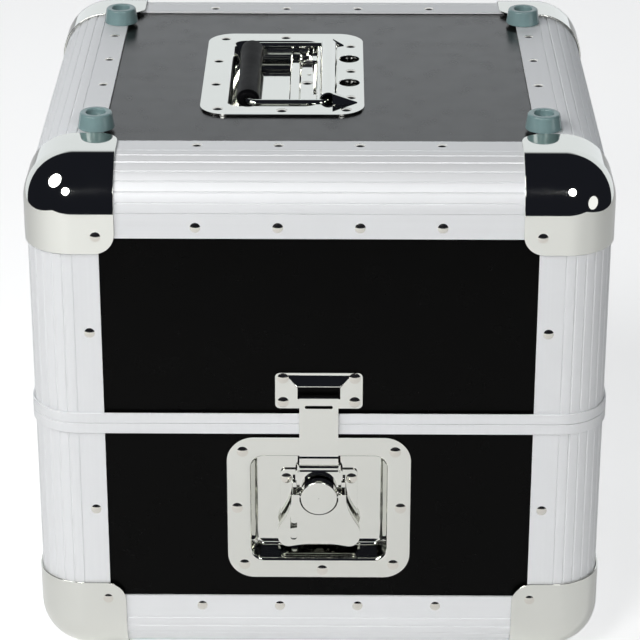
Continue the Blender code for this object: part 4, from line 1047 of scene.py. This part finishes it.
def pressed_dish(name, flange, recess, depth, draft, place, facing, lean=0.0):
    """A sheet with a flat flange, a rolled rim, drafted walls and a floor."""
    left, right, low, high, radius = recess
    section = filleted([(-2 * DISH_BEND, 0), (0, 0), (draft, depth), (draft + DISH_FLAT, depth)],
                       DISH_BEND)
    loops = [[place(u, v, FACE_DEPTH) for u, v in rounded_rectangle(*flange, DISH_STEPS)]]
    for inset, down in section:
        outline = rounded_rectangle(left + inset + lean * down / depth, right - inset,
                                    low + inset, high - inset, radius - inset, DISH_STEPS)
        loops.append([place(u, v, FACE_DEPTH + down) for u, v in outline])
    shape = skin(loops, ends="floor")
    shape.faces.ensure_lookup_table()
    shape.normal_update()
    if shape.faces[-1].normal.dot(Vector(facing)) < 0:
        bmesh.ops.reverse_faces(shape, faces=shape.faces)
    return thicken(new_object(name, shape), SHEET, even=True)


def build_latch_dish():
    low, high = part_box("latch_dish")
    middle = (low.z + high.z) / 2
    piece = pressed_dish("latch_recessed_dish", (low.x, high.x, low.z, high.z, LATCH_DISH_RADIUS),
                         (*centred(0, middle, *LATCH_RECESS), LATCH_RECESS_RADIUS),
                         LATCH_RECESS_DEPTH, LATCH_RECESS_DRAFT, on_front, TO_FRONT)
    round_edges(piece, LATCH_DISH_BREAK, DISH_BEVELLED)
    dress(piece, CHROME, "case", "chrome", "latch_dish")
    rivets_at("case", LATCH_DISH_RIVETS, on_front, TO_FRONT, FACE_DEPTH, (0, middle))
    print("latch dish", high - low)


build_latch_dish()

# %% [markdown]
# Inside the dish a base bracket guides the pull plate with two folded ears. The drum turns in
# the bracket. It is lofted through circles at growing depths, so the eccentric is only a circle
# set off centre, and a punch mark at its middle is two small ones. The pull plate has a window
# round the eccentric. It narrows at two shoulders above, where slim ears carry the hook's pin.

# %% Bracket
LATCH_GAP = 0.0003
DRUM_Z = joints["drum_turn"]["pos_m"][2]
FOLD_DEPTH = joints["wing_fold"]["pos_m"][1] - FRONT_Y
PIN_DEPTH = joints["hook_swing"]["pos_m"][1] - FRONT_Y
PIN_Z = joints["hook_swing"]["pos_m"][2]
PULL_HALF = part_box("latch_pull_plate")[1].x
PULL_FACE = 0.00885
PULL_SHEET = 0.0015
GUIDE_WALL = 0.0015
GUIDE_LIP = 0.0012
GUIDE_SPAN = (-0.003, 0.008)
BRACKET_RIVETS = ((-0.0207, 0.0082), (0.0207, 0.0082))


def build_bracket():
    low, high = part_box("latch_bracket")
    back = high.y - FRONT_Y
    outline = rounded_rectangle(low.x, high.x, low.z, high.z, PLATE_CORNER)
    piece = new_object("latch_base_bracket", plate(outline, back - SHEET, back))
    inside, outside = PULL_HALF + LATCH_GAP, PULL_HALF + LATCH_GAP + GUIDE_WALL
    root, lip_back = back - SHEET / 2, PULL_FACE - LATCH_GAP
    for sign in (-1, 1):
        guide = [(sign * inside, root), (sign * inside, lip_back),
                 (sign * (inside - GUIDE_LIP), lip_back),
                 (sign * (inside - GUIDE_LIP), lip_back - GUIDE_LIP),
                 (sign * outside, lip_back - GUIDE_LIP), (sign * outside, root)]
        join(piece, plate(guide, DRUM_Z + GUIDE_SPAN[0], DRUM_Z + GUIDE_SPAN[1],
                          lambda u, depth, v: on_front(u, v, depth)))
    round_edges(piece, BREAK)
    dress(piece, CHROME, "case", "chrome", "latch_bracket")
    rivets_at("case", BRACKET_RIVETS, on_front, TO_FRONT, back - SHEET, (0, DRUM_Z))


build_bracket()

# %% Drum
DRUM_EDGE = 0.0006
DRUM_EDGE_STEPS = 4
DRUM_LENGTH = 0.0064
DRUM_MARK = ((0.0002, 0.0004), (0.0008, 0))
NECK_RADIUS = 0.0048
NECK_LENGTH = 0.0010
ECCENTRIC_RADIUS = 0.0075
ECCENTRIC_LENGTH = 0.0032
ECCENTRIC_DROP = 0.0020
TRUNNION_RADIUS = 0.0015
TRUNNION_END = 0.0136
DRUM_STEPS = 64


def build_drum():
    low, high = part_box("latch_drum")
    radius = high.z - DRUM_Z
    front = low.y - FRONT_Y

    def ring(size, depth, drop=0):
        return [on_front(u, v, depth) for u, v in circle((0, DRUM_Z - drop), size, DRUM_STEPS)]

    back = front + DRUM_LENGTH
    cam_front, cam_back = back + NECK_LENGTH, back + NECK_LENGTH + ECCENTRIC_LENGTH
    loops = [ring(size, front + depth) for size, depth in DRUM_MARK]
    for step in range(DRUM_EDGE_STEPS + 1):
        turn = step / DRUM_EDGE_STEPS * pi / 2
        loops.append(ring(radius - DRUM_EDGE * (1 - sin(turn)), front + DRUM_EDGE * (1 - cos(turn))))
    loops += [
        ring(radius, back - BREAK), ring(radius - BREAK, back), ring(NECK_RADIUS, back),
        ring(NECK_RADIUS, cam_front), ring(ECCENTRIC_RADIUS - BREAK, cam_front, ECCENTRIC_DROP),
        ring(ECCENTRIC_RADIUS, cam_front + BREAK, ECCENTRIC_DROP),
        ring(ECCENTRIC_RADIUS, cam_back, ECCENTRIC_DROP), ring(NECK_RADIUS, cam_back),
        ring(NECK_RADIUS, high.y - FRONT_Y),
    ]
    piece = new_object("latch_turning_drum", skin(loops))
    join(piece, rod(FOLD_DEPTH, DRUM_Z, TRUNNION_RADIUS, -TRUNNION_END, TRUNNION_END))
    dress(piece, CHROME, "drum", "chrome", "latch_drum")


build_drum()

# %% Pull plate
WINDOW_HALVES = (0.0098, 0.0082)
WINDOW_STEPS = 12
EAR_WIDTH = 0.0011
EAR_INSET = 0.0014
EAR_HALF = 0.0025
EAR_CORNER = 0.0007
EAR_START = 0.0137
SHOULDER = (0.0046, 0.0012)
PIN_RADIUS = 0.0016


def build_pull_plate():
    low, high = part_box("latch_pull_plate")
    back = PULL_FACE + PULL_SHEET
    low_shoulder, high_shoulder = PIN_Z - SHOULDER[0], PIN_Z - SHOULDER[1]
    outline = rounded_rectangle(-PULL_HALF, PULL_HALF, low.z, low_shoulder, PLATE_CORNER)
    piece = new_object("latch_lifting_plate", plate(outline, PULL_FACE, back))
    outer = PULL_HALF - EAR_INSET
    neck = [(-PULL_HALF + SHOULDER[1], low_shoulder - SHOULDER[1]),
            (PULL_HALF - SHOULDER[1], low_shoulder - SHOULDER[1]), (outer, high_shoulder),
            (outer, PIN_Z), (-outer, PIN_Z), (-outer, high_shoulder)]
    join(piece, plate(neck, PULL_FACE, back))
    root, tip = PULL_FACE + PULL_SHEET / 2, PIN_DEPTH - EAR_HALF
    ear = filleted([(root, DRUM_Z + EAR_START), (root, PIN_Z), (PIN_DEPTH, PIN_Z + EAR_HALF),
                    (tip, PIN_Z + EAR_HALF), (tip, PIN_Z - EAR_HALF / 2),
                    (PIN_DEPTH, PIN_Z - EAR_HALF)], EAR_CORNER)
    for start, end in ((-outer, EAR_WIDTH - outer), (outer - EAR_WIDTH, outer)):
        join(piece, strip(ear, start, end))
    pin_end = outer - EAR_WIDTH / 2
    join(piece, rod(PIN_DEPTH, PIN_Z, PIN_RADIUS, -pin_end, pin_end))
    wide, tall = WINDOW_HALVES
    window = rounded_rectangle(*centred(0, DRUM_Z - ECCENTRIC_DROP, 2 * wide, 2 * tall),
                               tall - LATCH_GAP, WINDOW_STEPS)
    cut(piece, plate(window, PULL_FACE - SHEET, back + SHEET))
    round_edges(piece, BREAK)
    dress(piece, CHROME, "pull_plate", "chrome", "latch_pull_plate")


build_pull_plate()

# %% [markdown]
# The wing is what the hand turns. It is stamped to a butterfly's outline, its upper flanks are
# folded back for stiffness, and two rolled knuckles hold the drum's trunnions. The outline is
# a dozen chosen points a side, run through by a smooth curve.

# %% Wing
WING_OUTLINE_SHARES = (
    (0.655, 0.00), (0.665, 0.10), (0.690, 0.20), (0.745, 0.32), (0.850, 0.47), (0.955, 0.60),
    (1.000, 0.70), (1.000, 0.80), (0.955, 0.90), (0.860, 0.975), (0.740, 1.00), (0.600, 0.985),
    (0.300, 0.955),
)
WING_SHEET = 0.0015
WING_REACH = 0.0352
WING_NOTCH_RADIUS = 0.0126
WING_NOTCH_STEPS = 32
KNUCKLE_RADIUS = 0.0026
KNUCKLE_START = 0.0123
KNUCKLE_END = 0.0139
WING_TOP_RISE = 0.0018
WING_STEPS = 5
WING_BREAK = 0.0003
FLANK_DEPTH = 0.005
FLANK_SPAN = (2, 6)
WING_SLOT = (-0.016, 0.0043, 0.0175, 0.0217)
SLOT_END_FLAT = 0.0001


def build_wing():
    low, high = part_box("latch_wing")
    right = [(u * high.x, DRUM_Z - v * WING_REACH) for u, v in WING_OUTLINE_SHARES]
    curve = smoothed(right + [(-u, v) for u, v in reversed(right)], WING_STEPS)
    flank = curve[FLANK_SPAN[0] * WING_STEPS:FLANK_SPAN[1] * WING_STEPS + 1]
    opening = atan2(sqrt(WING_NOTCH_RADIUS ** 2 - KNUCKLE_START ** 2), KNUCKLE_START)
    notch = arc((0, DRUM_Z), WING_NOTCH_RADIUS, pi + opening, 2 * pi - opening, WING_NOTCH_STEPS)
    top, shoulder = DRUM_Z + WING_TOP_RISE, right[0][0]
    outline = [(-shoulder, top), (-KNUCKLE_START, top)] + notch
    outline += [(KNUCKLE_START, top), (shoulder, top)] + curve
    front = low.y - FRONT_Y
    back = front + WING_SHEET
    piece = new_object("latch_butterfly_wing", plate(outline, front, back))
    for sign in (-1, 1):
        fold = [(sign * u, v) for u, v in flank]
        fold += [(sign * (u - WING_SHEET), v) for u, v in reversed(flank)]
        join(piece, plate(fold, front + WING_SHEET / 2, back + FLANK_DEPTH))
        near, far = sorted((sign * KNUCKLE_START, sign * KNUCKLE_END))
        join(piece, rod(FOLD_DEPTH, DRUM_Z, KNUCKLE_RADIUS, near, far))
    cut(piece, rod(FOLD_DEPTH, DRUM_Z, TRUNNION_RADIUS + LATCH_GAP, -KNUCKLE_END - SHEET,
                   KNUCKLE_END + SHEET))
    at, wide, tall, drop = WING_SLOT
    slot = rounded_rectangle(*centred(at, DRUM_Z - drop, wide, tall), wide / 2 - SLOT_END_FLAT,
                             SLOT_STEPS)
    cut(piece, plate(slot, front - SHEET, back + SHEET))
    round_edges(piece, WING_BREAK)
    dress(piece, CHROME, "wing", "chrome", "latch_wing")


build_wing()

# %% [markdown]
# The hook plate hangs on the pull plate's pin by an eye rolled out of its own sheet, open in
# front below the pin. It cranks out over the dish's rim, runs up over the seam with one fine
# step, and ends in a lip that enters the keeper. As bent sheet it is one section of depth and
# height with soft bends, carried across.

# %% Hook
HOOK_SHEET = 0.0015
HOOK_CRANK_RISE = 0.0050
HOOK_STEP = (0.0098, 0.0004, 0.0006)
HOOK_BEND = 0.0008
HOOK_INNER_BEND = 0.0003
HOOK_INNER_STEPS = 3
EYE_RADIUS = 0.0034
EYE_STEPS = 48
EYE_BLEND = radians(62)
EYE_OPENING = (radians(12), radians(62))
HOOK_SLOT = (0.0174, 0.0021, 0.0056)


def build_hook():
    low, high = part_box("latch_hook")
    front = low.y - FRONT_Y
    back = front + HOOK_SHEET
    crank = PIN_Z + HOOK_CRANK_RISE
    meeting = (PIN_DEPTH - EYE_RADIUS * cos(EYE_BLEND), PIN_Z + EYE_RADIUS * sin(EYE_BLEND))
    rise, proud, run = HOOK_STEP
    band = front - proud
    outer = filleted([(0, high.z), (front, high.z), (front, PIN_Z + rise + 2 * HOOK_BEND)],
                     HOOK_BEND)
    outer += [(front, PIN_Z + rise + run), (band, PIN_Z + rise)]
    outer += filleted([(band, PIN_Z + rise - run), (band, crank), meeting], HOOK_BEND)
    inner = filleted([(PIN_DEPTH, PIN_Z + EYE_RADIUS - BREAK), (back, crank + HOOK_SHEET),
                      (back, high.z - HOOK_SHEET), (0, high.z - HOOK_SHEET)], HOOK_INNER_BEND,
                     HOOK_INNER_STEPS)
    piece = new_object("latch_hook_plate", strip(outer + inner, low.x, high.x))
    join(piece, rod(PIN_DEPTH, PIN_Z, EYE_RADIUS, low.x, high.x, steps=EYE_STEPS))
    cut(piece, rod(PIN_DEPTH, PIN_Z, PIN_RADIUS + LATCH_GAP, low.x - SHEET, high.x + SHEET))
    opening = [(PIN_DEPTH, PIN_Z)] + [(PIN_DEPTH - 2 * EYE_RADIUS * cos(a),
                                       PIN_Z - 2 * EYE_RADIUS * sin(a)) for a in EYE_OPENING]
    cut(piece, strip(opening, low.x - SHEET, high.x + SHEET))
    wide, tall, drop = HOOK_SLOT
    top = high.z - drop
    slot = rounded_rectangle(-wide / 2, wide / 2, top - tall, top, tall / 2 - SLOT_END_FLAT,
                             SLOT_STEPS)
    cut(piece, plate(slot, front - SHEET, back + SHEET / 2))
    round_edges(piece, BREAK)
    dress(piece, CHROME, "hook", "chrome", "latch_hook")


build_hook()

# %% [markdown]
# The keeper on the lid is a small plate with a window for the hook's lip. The sheet above the
# window is raised into a hood, flat at the top and open below, where its rim has a narrow lip.
# The hood's outer form is joined on, and its inner form and the window are then cut.

# %% Keeper
KEEPER_WINDOW_HALF = 0.0143
KEEPER_WINDOW = (0.0064, 0.0160)
KEEPER_HOOD_TOP = (0.0204, 0.0188)
KEEPER_HOOD_PROUD = 0.0030
KEEPER_HOOD_BEND = 0.0008
KEEPER_HOOD_STEPS = 4
KEEPER_HOOD_SUNK = 0.75 * SHEET
KEEPER_LIP = (0.0006, 0.00025)
KEEPER_WALL = 0.00096
KEEPER_RIVETS = ((-0.0223, 0.0085), (0.0223, 0.0085), (-0.0223, -0.0079), (0.0223, -0.0079))


def build_keeper():
    low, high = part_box("latch_keeper")
    back = high.y - FRONT_Y
    face = back - SHEET
    outline = rounded_rectangle(low.x, high.x, low.z, high.z, PLATE_CORNER)
    piece = new_object("latch_keeper_plate", plate(outline, face, back))
    edge = low.z + KEEPER_WINDOW[1]
    top, top_half = low.z + KEEPER_HOOD_TOP[0], KEEPER_HOOD_TOP[1]

    def hood(depth, *levels):
        """The hood's form down to a depth. A level is a height, a half width and a rise."""
        loops = []
        for height, half, proud in levels:
            section = filleted([(-half, depth), (-half, face - proud), (half, face - proud),
                                (half, depth)], KEEPER_HOOD_BEND, KEEPER_HOOD_STEPS)
            loops.append([on_front(u, height, v) for u, v in section])
        return skin(loops)

    lip_rise, lip_back = KEEPER_LIP
    join(piece, hood(face + KEEPER_HOOD_SUNK,
                     (edge, KEEPER_WINDOW_HALF, KEEPER_HOOD_PROUD - lip_back),
                     (edge + lip_rise, KEEPER_WINDOW_HALF, KEEPER_HOOD_PROUD),
                     (top, top_half, 0)))
    half, wall = KEEPER_WINDOW_HALF - KEEPER_WALL, KEEPER_WALL
    cut(piece, hood(back + OVERREACH, (edge - OVERREACH, half, KEEPER_HOOD_PROUD - wall),
                    (top - 2 * wall, top_half - 2 * wall, -wall)))
    window = rectangle(-half, half, low.z + KEEPER_WINDOW[0], edge)
    cut(piece, plate(window, face - OVERREACH, back + OVERREACH))
    round_edges(piece, BREAK)
    dress(piece, CHROME, "lid", "chrome", "latch_keeper")
    rivets_at("lid", KEEPER_RIVETS, on_front, TO_FRONT, face, (0, (low.z + high.z) / 2))


build_keeper()

# %% [markdown]
# The handle folds into a dish on the lid, whose left wall leans further in than the others. Two
# things are pressed out of the dish's flange: a half-round hood over the bail's pivot, and a
# half-cone where each arm enters it. They are joined on as full rounds, and the same forms a
# sheet's thickness smaller are cut from below. Two pressed louvres are made the same way.

# %% Handle dish
PIVOT_X = joints["handle_swing"]["pos_m"][0]
PIVOT_DEPTH = TOP_Z - joints["handle_swing"]["pos_m"][2]
BAIL_RADIUS = 0.00225
HANDLE_DISH_RADIUS = 0.0175
HANDLE_RECESS = (-0.0590, -0.0025, -0.064, 0.064, 0.008)
HANDLE_RECESS_DEPTH = 0.0105
HANDLE_RECESS_DRAFT = 0.0020
HANDLE_LEFT_LEAN = 0.0042
HANDLE_DISH_BREAK = 0.0002
HANDLE_BEVELLED = radians(50)
HANDLE_DISH_RIVETS = ((-0.065, 0.0695), (-0.065, -0.0695), (-0.068, 0.023), (-0.068, -0.023),
                      (-0.0243, 0.0723), (-0.0243, -0.0728), (0.0197, 0.054), (0.0197, 0.003),
                      (0.0195, -0.048), (0.0165, -0.0712))
HOOD_RADIUS = 0.0058
HOOD_HALF_LENGTH = 0.0535
HOOD_STEPS = 64
CONE_MOUTH_X = 0.00775
CONES = ((-0.0570, 0.0070, 0.0235, -0.0578), (0.0607, 0.0040, 0.0150, 0.0555))
CONE_TIP_RADIUS = 0.0012
CONE_LEAST_RADIUS = 0.0002
CONE_STEPS = 48
ARM_Y = 0.057
ARM_ROOM = 0.00275
TONGUE_Y = 0.041
TONGUE_SPAN = 0.014
TONGUE_ROOM = 0.0006
REST_RIGHT = -0.0048
LOUVRES = ((0.0186, 0.0275), (0.0186, -0.0200))
LOUVRE_SIZE = (0.0136, 0.0048, 0.0026)
LOUVRE_WALL = 0.0005
LOUVRE_ROOT = 0.0006
LOUVRE_STEPS = 20
LOUVRE_ARCH_STEPS = 8
LOUVRE_END_SHARE = 0.04


def along_handle(u, depth, v):
    return on_top(u, v, depth)


def hood_forms(shrink):
    """The hood's rod and the two cones, smaller and longer when they are to be cut out."""
    over = OVERREACH if shrink else 0
    end = HOOD_HALF_LENGTH + over
    forms = [plate(circle((PIVOT_X, PIVOT_DEPTH), HOOD_RADIUS - shrink, HOOD_STEPS), -end, end,
                   along_handle)]
    for at, radius, tip, tip_at in CONES:
        loops = []
        for x, y, size in ((CONE_MOUTH_X - over, at, radius - shrink),
                           (tip - shrink, tip_at, CONE_TIP_RADIUS - shrink)):
            size = max(size, CONE_LEAST_RADIUS)
            loops.append([on_top(x, y + u, PIVOT_DEPTH + v)
                          for u, v in circle((0, 0), size, CONE_STEPS)])
        forms.append(skin(loops))
    return forms


def louvre(at_x, at_y, wall=0.0, down=LOUVRE_ROOT):
    """A pressed eyebrow: a quarter of an egg, open towards the front."""
    length, width, height = [size - wall for size in LOUVRE_SIZE]
    loops = []
    for step in range(LOUVRE_STEPS + 1):
        turn = pi * step / LOUVRE_STEPS
        share = max(sin(turn), LOUVRE_END_SHARE)
        arch = [(width * share * x, height * share * y)
                for x, y in arc((0, 0), 1, 0, pi / 2, LOUVRE_ARCH_STEPS)]
        profile = arch + [(-2 * wall, height * share), (-2 * wall, -down), (width * share, -down)]
        loops.append([on_top(at_x - (length - wall) / 2 * cos(turn), at_y + v, FACE_DEPTH - rise)
                      for v, rise in profile])
    return skin(loops)


def build_handle_dish():
    low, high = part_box("handle_dish")
    flange = (low.x, high.x, low.y - MIDDLE_Y, high.y - MIDDLE_Y, HANDLE_DISH_RADIUS)
    piece = pressed_dish("handle_recessed_dish", flange, HANDLE_RECESS, HANDLE_RECESS_DEPTH,
                         HANDLE_RECESS_DRAFT, on_top, TO_TOP, HANDLE_LEFT_LEAN)
    floor = TOP_Z - FACE_DEPTH - SHEET / 2
    for form in hood_forms(0):
        sliced = bmesh.ops.bisect_plane(form, geom=form.verts[:] + form.edges[:] + form.faces[:],
                                        plane_co=(0, 0, floor), plane_no=(0, 0, -1),
                                        clear_outer=True)
        rim = [item for item in sliced["geom_cut"] if isinstance(item, bmesh.types.BMEdge)]
        bmesh.ops.contextual_create(form, geom=rim)
        join(piece, outward(form))
    for form in hood_forms(SHEET):
        cut(piece, form)
    for sign in (-1, 1):
        near, far = sign * TONGUE_Y - TONGUE_SPAN / 2, sign * TONGUE_Y + TONGUE_SPAN / 2
        window = rectangle(REST_RIGHT - SHEET, PIVOT_X, near - TONGUE_ROOM, far + TONGUE_ROOM)
        low_depth = PIVOT_DEPTH + BAIL_RADIUS + 3 * SHEET
        cut(piece, plate(window, low_depth - 3 * SHEET, low_depth, on_top))
        opening = rectangle(REST_RIGHT, CONE_MOUTH_X, sign * ARM_Y - ARM_ROOM,
                            sign * ARM_Y + ARM_ROOM)
        cut(piece, plate(opening, -HOOD_RADIUS - OVERREACH, PIVOT_DEPTH + ARM_ROOM, on_top))
    for at_x, at_y in LOUVRES:
        join(piece, louvre(at_x, at_y))
        cut(piece, louvre(at_x, at_y, LOUVRE_WALL, 2 * SHEET))
    round_edges(piece, HANDLE_DISH_BREAK, HANDLE_BEVELLED)
    dress(piece, CHROME, "lid", "chrome", "handle_dish")
    rivets_at("lid", HANDLE_DISH_RIVETS, on_top, TO_TOP, FACE_DEPTH)


build_handle_dish()

# %% [markdown]
# Under the grip lies a folded rest, riveted to the floor. Two of its tongues reach through the
# wall and curl round the ends of the bail. The bail is a bent rod: circles carried along a path
# whose corners are arcs. The grip is a moulded oval with a slight waist.

# %% Rest, bail and grip
REST_LEFT = -0.0205
REST_HALF = 0.054
REST_DEPTH = 0.0076
REST_BEAD = 0.0016
REST_BEAD_WIDTH = 0.006
REST_UPPER_BEND = (0.0017, 6)
REST_LOWER_BEND = (0.0005, 3)
REST_HOLE = ((-0.0078, 0.0164), 0.0013, 20)
REST_RIVETS = ((-0.009, -0.044), (-0.009, 0.0), (-0.009, 0.044))
CURL_END = radians(-20)
CURL_STEPS = 14
BAIL_BEND = (0.006, 10)
BAIL_STUB = 0.030
BAIL_STEPS = 24
GRIP_RING_SHARES = ((-1.0, 0.62), (-0.985, 0.80), (-0.94, 0.94), (-0.86, 1.0), (0.0, 0.96),
                    (0.86, 1.0), (0.94, 0.94), (0.985, 0.80), (1.0, 0.62))
GRIP_RING_STEPS = 4
GRIP_STEPS = 48
GRIP_BREAK = 0.0004


def build_rest():
    floor = FACE_DEPTH + HANDLE_RECESS_DEPTH - LATCH_GAP
    crest = REST_DEPTH - REST_BEAD
    bead = REST_LEFT + REST_BEAD_WIDTH
    upper = filleted([(REST_LEFT, floor), (REST_LEFT, crest), (bead, crest),
                      (bead + REST_BEAD, REST_DEPTH), (REST_RIGHT, REST_DEPTH)], *REST_UPPER_BEND)
    lower = filleted([(REST_RIGHT, REST_DEPTH + SHEET),
                      (bead + REST_BEAD - SHEET / 2, REST_DEPTH + SHEET),
                      (bead - SHEET / 2, crest + SHEET), (REST_LEFT + SHEET, crest + SHEET),
                      (REST_LEFT + SHEET, floor)], *REST_LOWER_BEND)
    piece = new_object("handle_folded_rest",
                       plate(upper + lower, -REST_HALF, REST_HALF, along_handle))
    seat = BAIL_RADIUS + LATCH_GAP
    outer = seat + SHEET
    pivot = (PIVOT_X, PIVOT_DEPTH)
    tongue = [(REST_RIGHT - SHEET, REST_DEPTH + SHEET), (REST_RIGHT, REST_DEPTH + SHEET),
              (REST_RIGHT, PIVOT_DEPTH + outer), *arc(pivot, outer, pi / 2, CURL_END, CURL_STEPS),
              *arc(pivot, seat, CURL_END, pi / 2, CURL_STEPS),
              (REST_RIGHT - SHEET, PIVOT_DEPTH + seat)]
    for sign in (-1, 1):
        start = sign * TONGUE_Y - TONGUE_SPAN / 2
        join(piece, plate(tongue, start, start + TONGUE_SPAN, along_handle))
    cut(piece, plate(circle(*REST_HOLE), REST_DEPTH - SHEET, REST_DEPTH + 2 * SHEET, on_top))
    round_edges(piece, BREAK)
    dress(piece, CHROME, "lid", "chrome", "handle_rest")
    rivets_at("lid", REST_RIVETS, on_top, TO_TOP, REST_DEPTH)


def build_bail():
    grip_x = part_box("handle_bail")[0].x + BAIL_RADIUS
    corners = [(PIVOT_X, -BAIL_STUB), (PIVOT_X, -ARM_Y), (grip_x, -ARM_Y), (grip_x, ARM_Y),
               (PIVOT_X, ARM_Y), (PIVOT_X, BAIL_STUB)]
    path = filleted([on_top(u, v, PIVOT_DEPTH) for u, v in corners], *BAIL_BEND)
    loops = []
    for index, point in enumerate(path):
        forward = (path[min(index + 1, len(path) - 1)] - path[max(index - 1, 0)]).normalized()
        side = forward.cross(Vector((0, 0, 1)))
        loops.append([point + side * u + Vector((0, 0, v))
                      for u, v in circle((0, 0), BAIL_RADIUS, BAIL_STEPS)])
    piece = new_object("handle_bent_bail", skin(loops))
    dress(piece, CHROME, "handle", "chrome", "handle_bail")


def build_grip():
    low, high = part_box("handle_grip")
    middle = (low + high) / 2
    reach = (high - low) / 2
    loops = []
    for place, size in smoothed(GRIP_RING_SHARES, GRIP_RING_STEPS):
        loops.append([middle + Vector((reach.x * size * u, reach.y * place, reach.z * size * v))
                      for u, v in circle((0, 0), 1, GRIP_STEPS)])
    piece = new_object("handle_moulded_grip", skin(loops))
    hole = circle((middle.x, TOP_Z - middle.z), BAIL_RADIUS + LATCH_GAP, BAIL_STEPS)
    cut(piece, plate(hole, -reach.y - SHEET, reach.y + SHEET, along_handle))
    round_edges(piece, GRIP_BREAK, HANDLE_BEVELLED, segments=3)
    dress(piece, GRIP_BLACK, "handle", "grip", "handle_grip")


build_rest()
build_bail()
build_grip()

# %% [markdown]
# Two crank hinges carry the lid behind. Each leaf is a bent strip that steps out over the rings
# to its knuckles: the body's leaf has the middle knuckle and the pin, the lid's leaf the two
# outer ones. The last rivets go on with them, again by the tree that copies a shape to points.

# %% Hinges
HINGE_HALF = 0.025
HINGE_MIDDLE_HALF = 0.009
HINGE_KNUCKLE = 0.0040
HINGE_PIN = 0.0020
HINGE_SHEET = 0.0015
HINGE_LEAF = 0.044
HINGE_CRANK = (0.0095, 0.0155)
HINGE_BEND = 0.0020
HINGE_RIVETS = ((-0.017, 0.0225), (-0.017, 0.0370), (0.017, 0.0225), (0.017, 0.0370))


def build_leaf(side, half, body, up):
    name = f"{side}_hinge_{half}_leaf"
    low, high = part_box(name)
    middle = (low.x + high.x) / 2
    axis = REAR_Y - joints["lid_hinge"]["pos_m"][1]
    outer = axis + HINGE_KNUCKLE
    flat = REAR_Y - low.y - HINGE_SHEET
    front = [(outer - HINGE_SHEET, 0), (outer - HINGE_SHEET, HINGE_CRANK[0]),
             (flat, HINGE_CRANK[1]), (flat, HINGE_LEAF)]
    behind = [(flat + HINGE_SHEET, HINGE_LEAF), (flat + HINGE_SHEET, HINGE_CRANK[1]),
              (outer, HINGE_CRANK[0]), (outer, 0)]
    section = [(depth, SEAM_Z + up * rise) for depth, rise in
               filleted(front, HINGE_BEND) + filleted(behind, HINGE_BEND)]
    piece = new_object(name + "_plate", strip(section, middle - HINGE_HALF, middle + HINGE_HALF,
                                              on_rear))
    heights = sorted((SEAM_Z - up * OVERREACH, SEAM_Z + up * (HINGE_KNUCKLE + LATCH_GAP)))

    def make_room(start, end):
        notch = rectangle(start, end, *heights)
        cut(piece, plate(notch, axis - HINGE_KNUCKLE - OVERREACH, outer + OVERREACH, on_rear))

    def knuckle(radius, start, end, operation="UNION"):
        combine(piece, rod(axis, SEAM_Z, radius, middle + start, middle + end, on_rear), operation)

    inner = HINGE_MIDDLE_HALF
    if half == "body":
        make_room(middle - HINGE_HALF - OVERREACH, middle - inner)
        make_room(middle + inner, middle + HINGE_HALF + OVERREACH)
        knuckle(HINGE_KNUCKLE, -inner, inner)
        knuckle(HINGE_PIN, -HINGE_HALF, HINGE_HALF)
    else:
        inner += LATCH_GAP
        make_room(middle - inner, middle + inner)
        knuckle(HINGE_KNUCKLE, -HINGE_HALF, -inner)
        knuckle(HINGE_KNUCKLE, inner, HINGE_HALF)
        knuckle(HINGE_PIN + LATCH_GAP, -HINGE_HALF - OVERREACH, HINGE_HALF + OVERREACH,
                "DIFFERENCE")
    round_edges(piece, BREAK)
    dress(piece, CHROME, body, "chrome", name)
    rivets_at(body, [(u, up * v) for u, v in HINGE_RIVETS], on_rear, TO_REAR, flat,
              (middle, SEAM_Z))


for side in ("left", "right"):
    build_leaf(side, "body", "case", -1)
    build_leaf(side, "lid", "lid", 1)

# %% Rivets of the latch, the handle and the hinges
HARDWARE_RIVET = (0.0036, 0.0009)
HARDWARE_RIVET_SPREAD = 0.02
HARDWARE_RIVET_SEED = 5

for body, places in HARDWARE_RIVETS.items():
    copies(f"{body}_hardware_rivets", rivet(*HARDWARE_RIVET), places, RIVET_METAL, body, "chrome",
           spread=HARDWARE_RIVET_SPREAD, seed=HARDWARE_RIVET_SEED)

# %% Finish
size = {"cad": [list(corner) for corner in CAD_BOX],
        "visual": [list(corner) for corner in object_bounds()]}
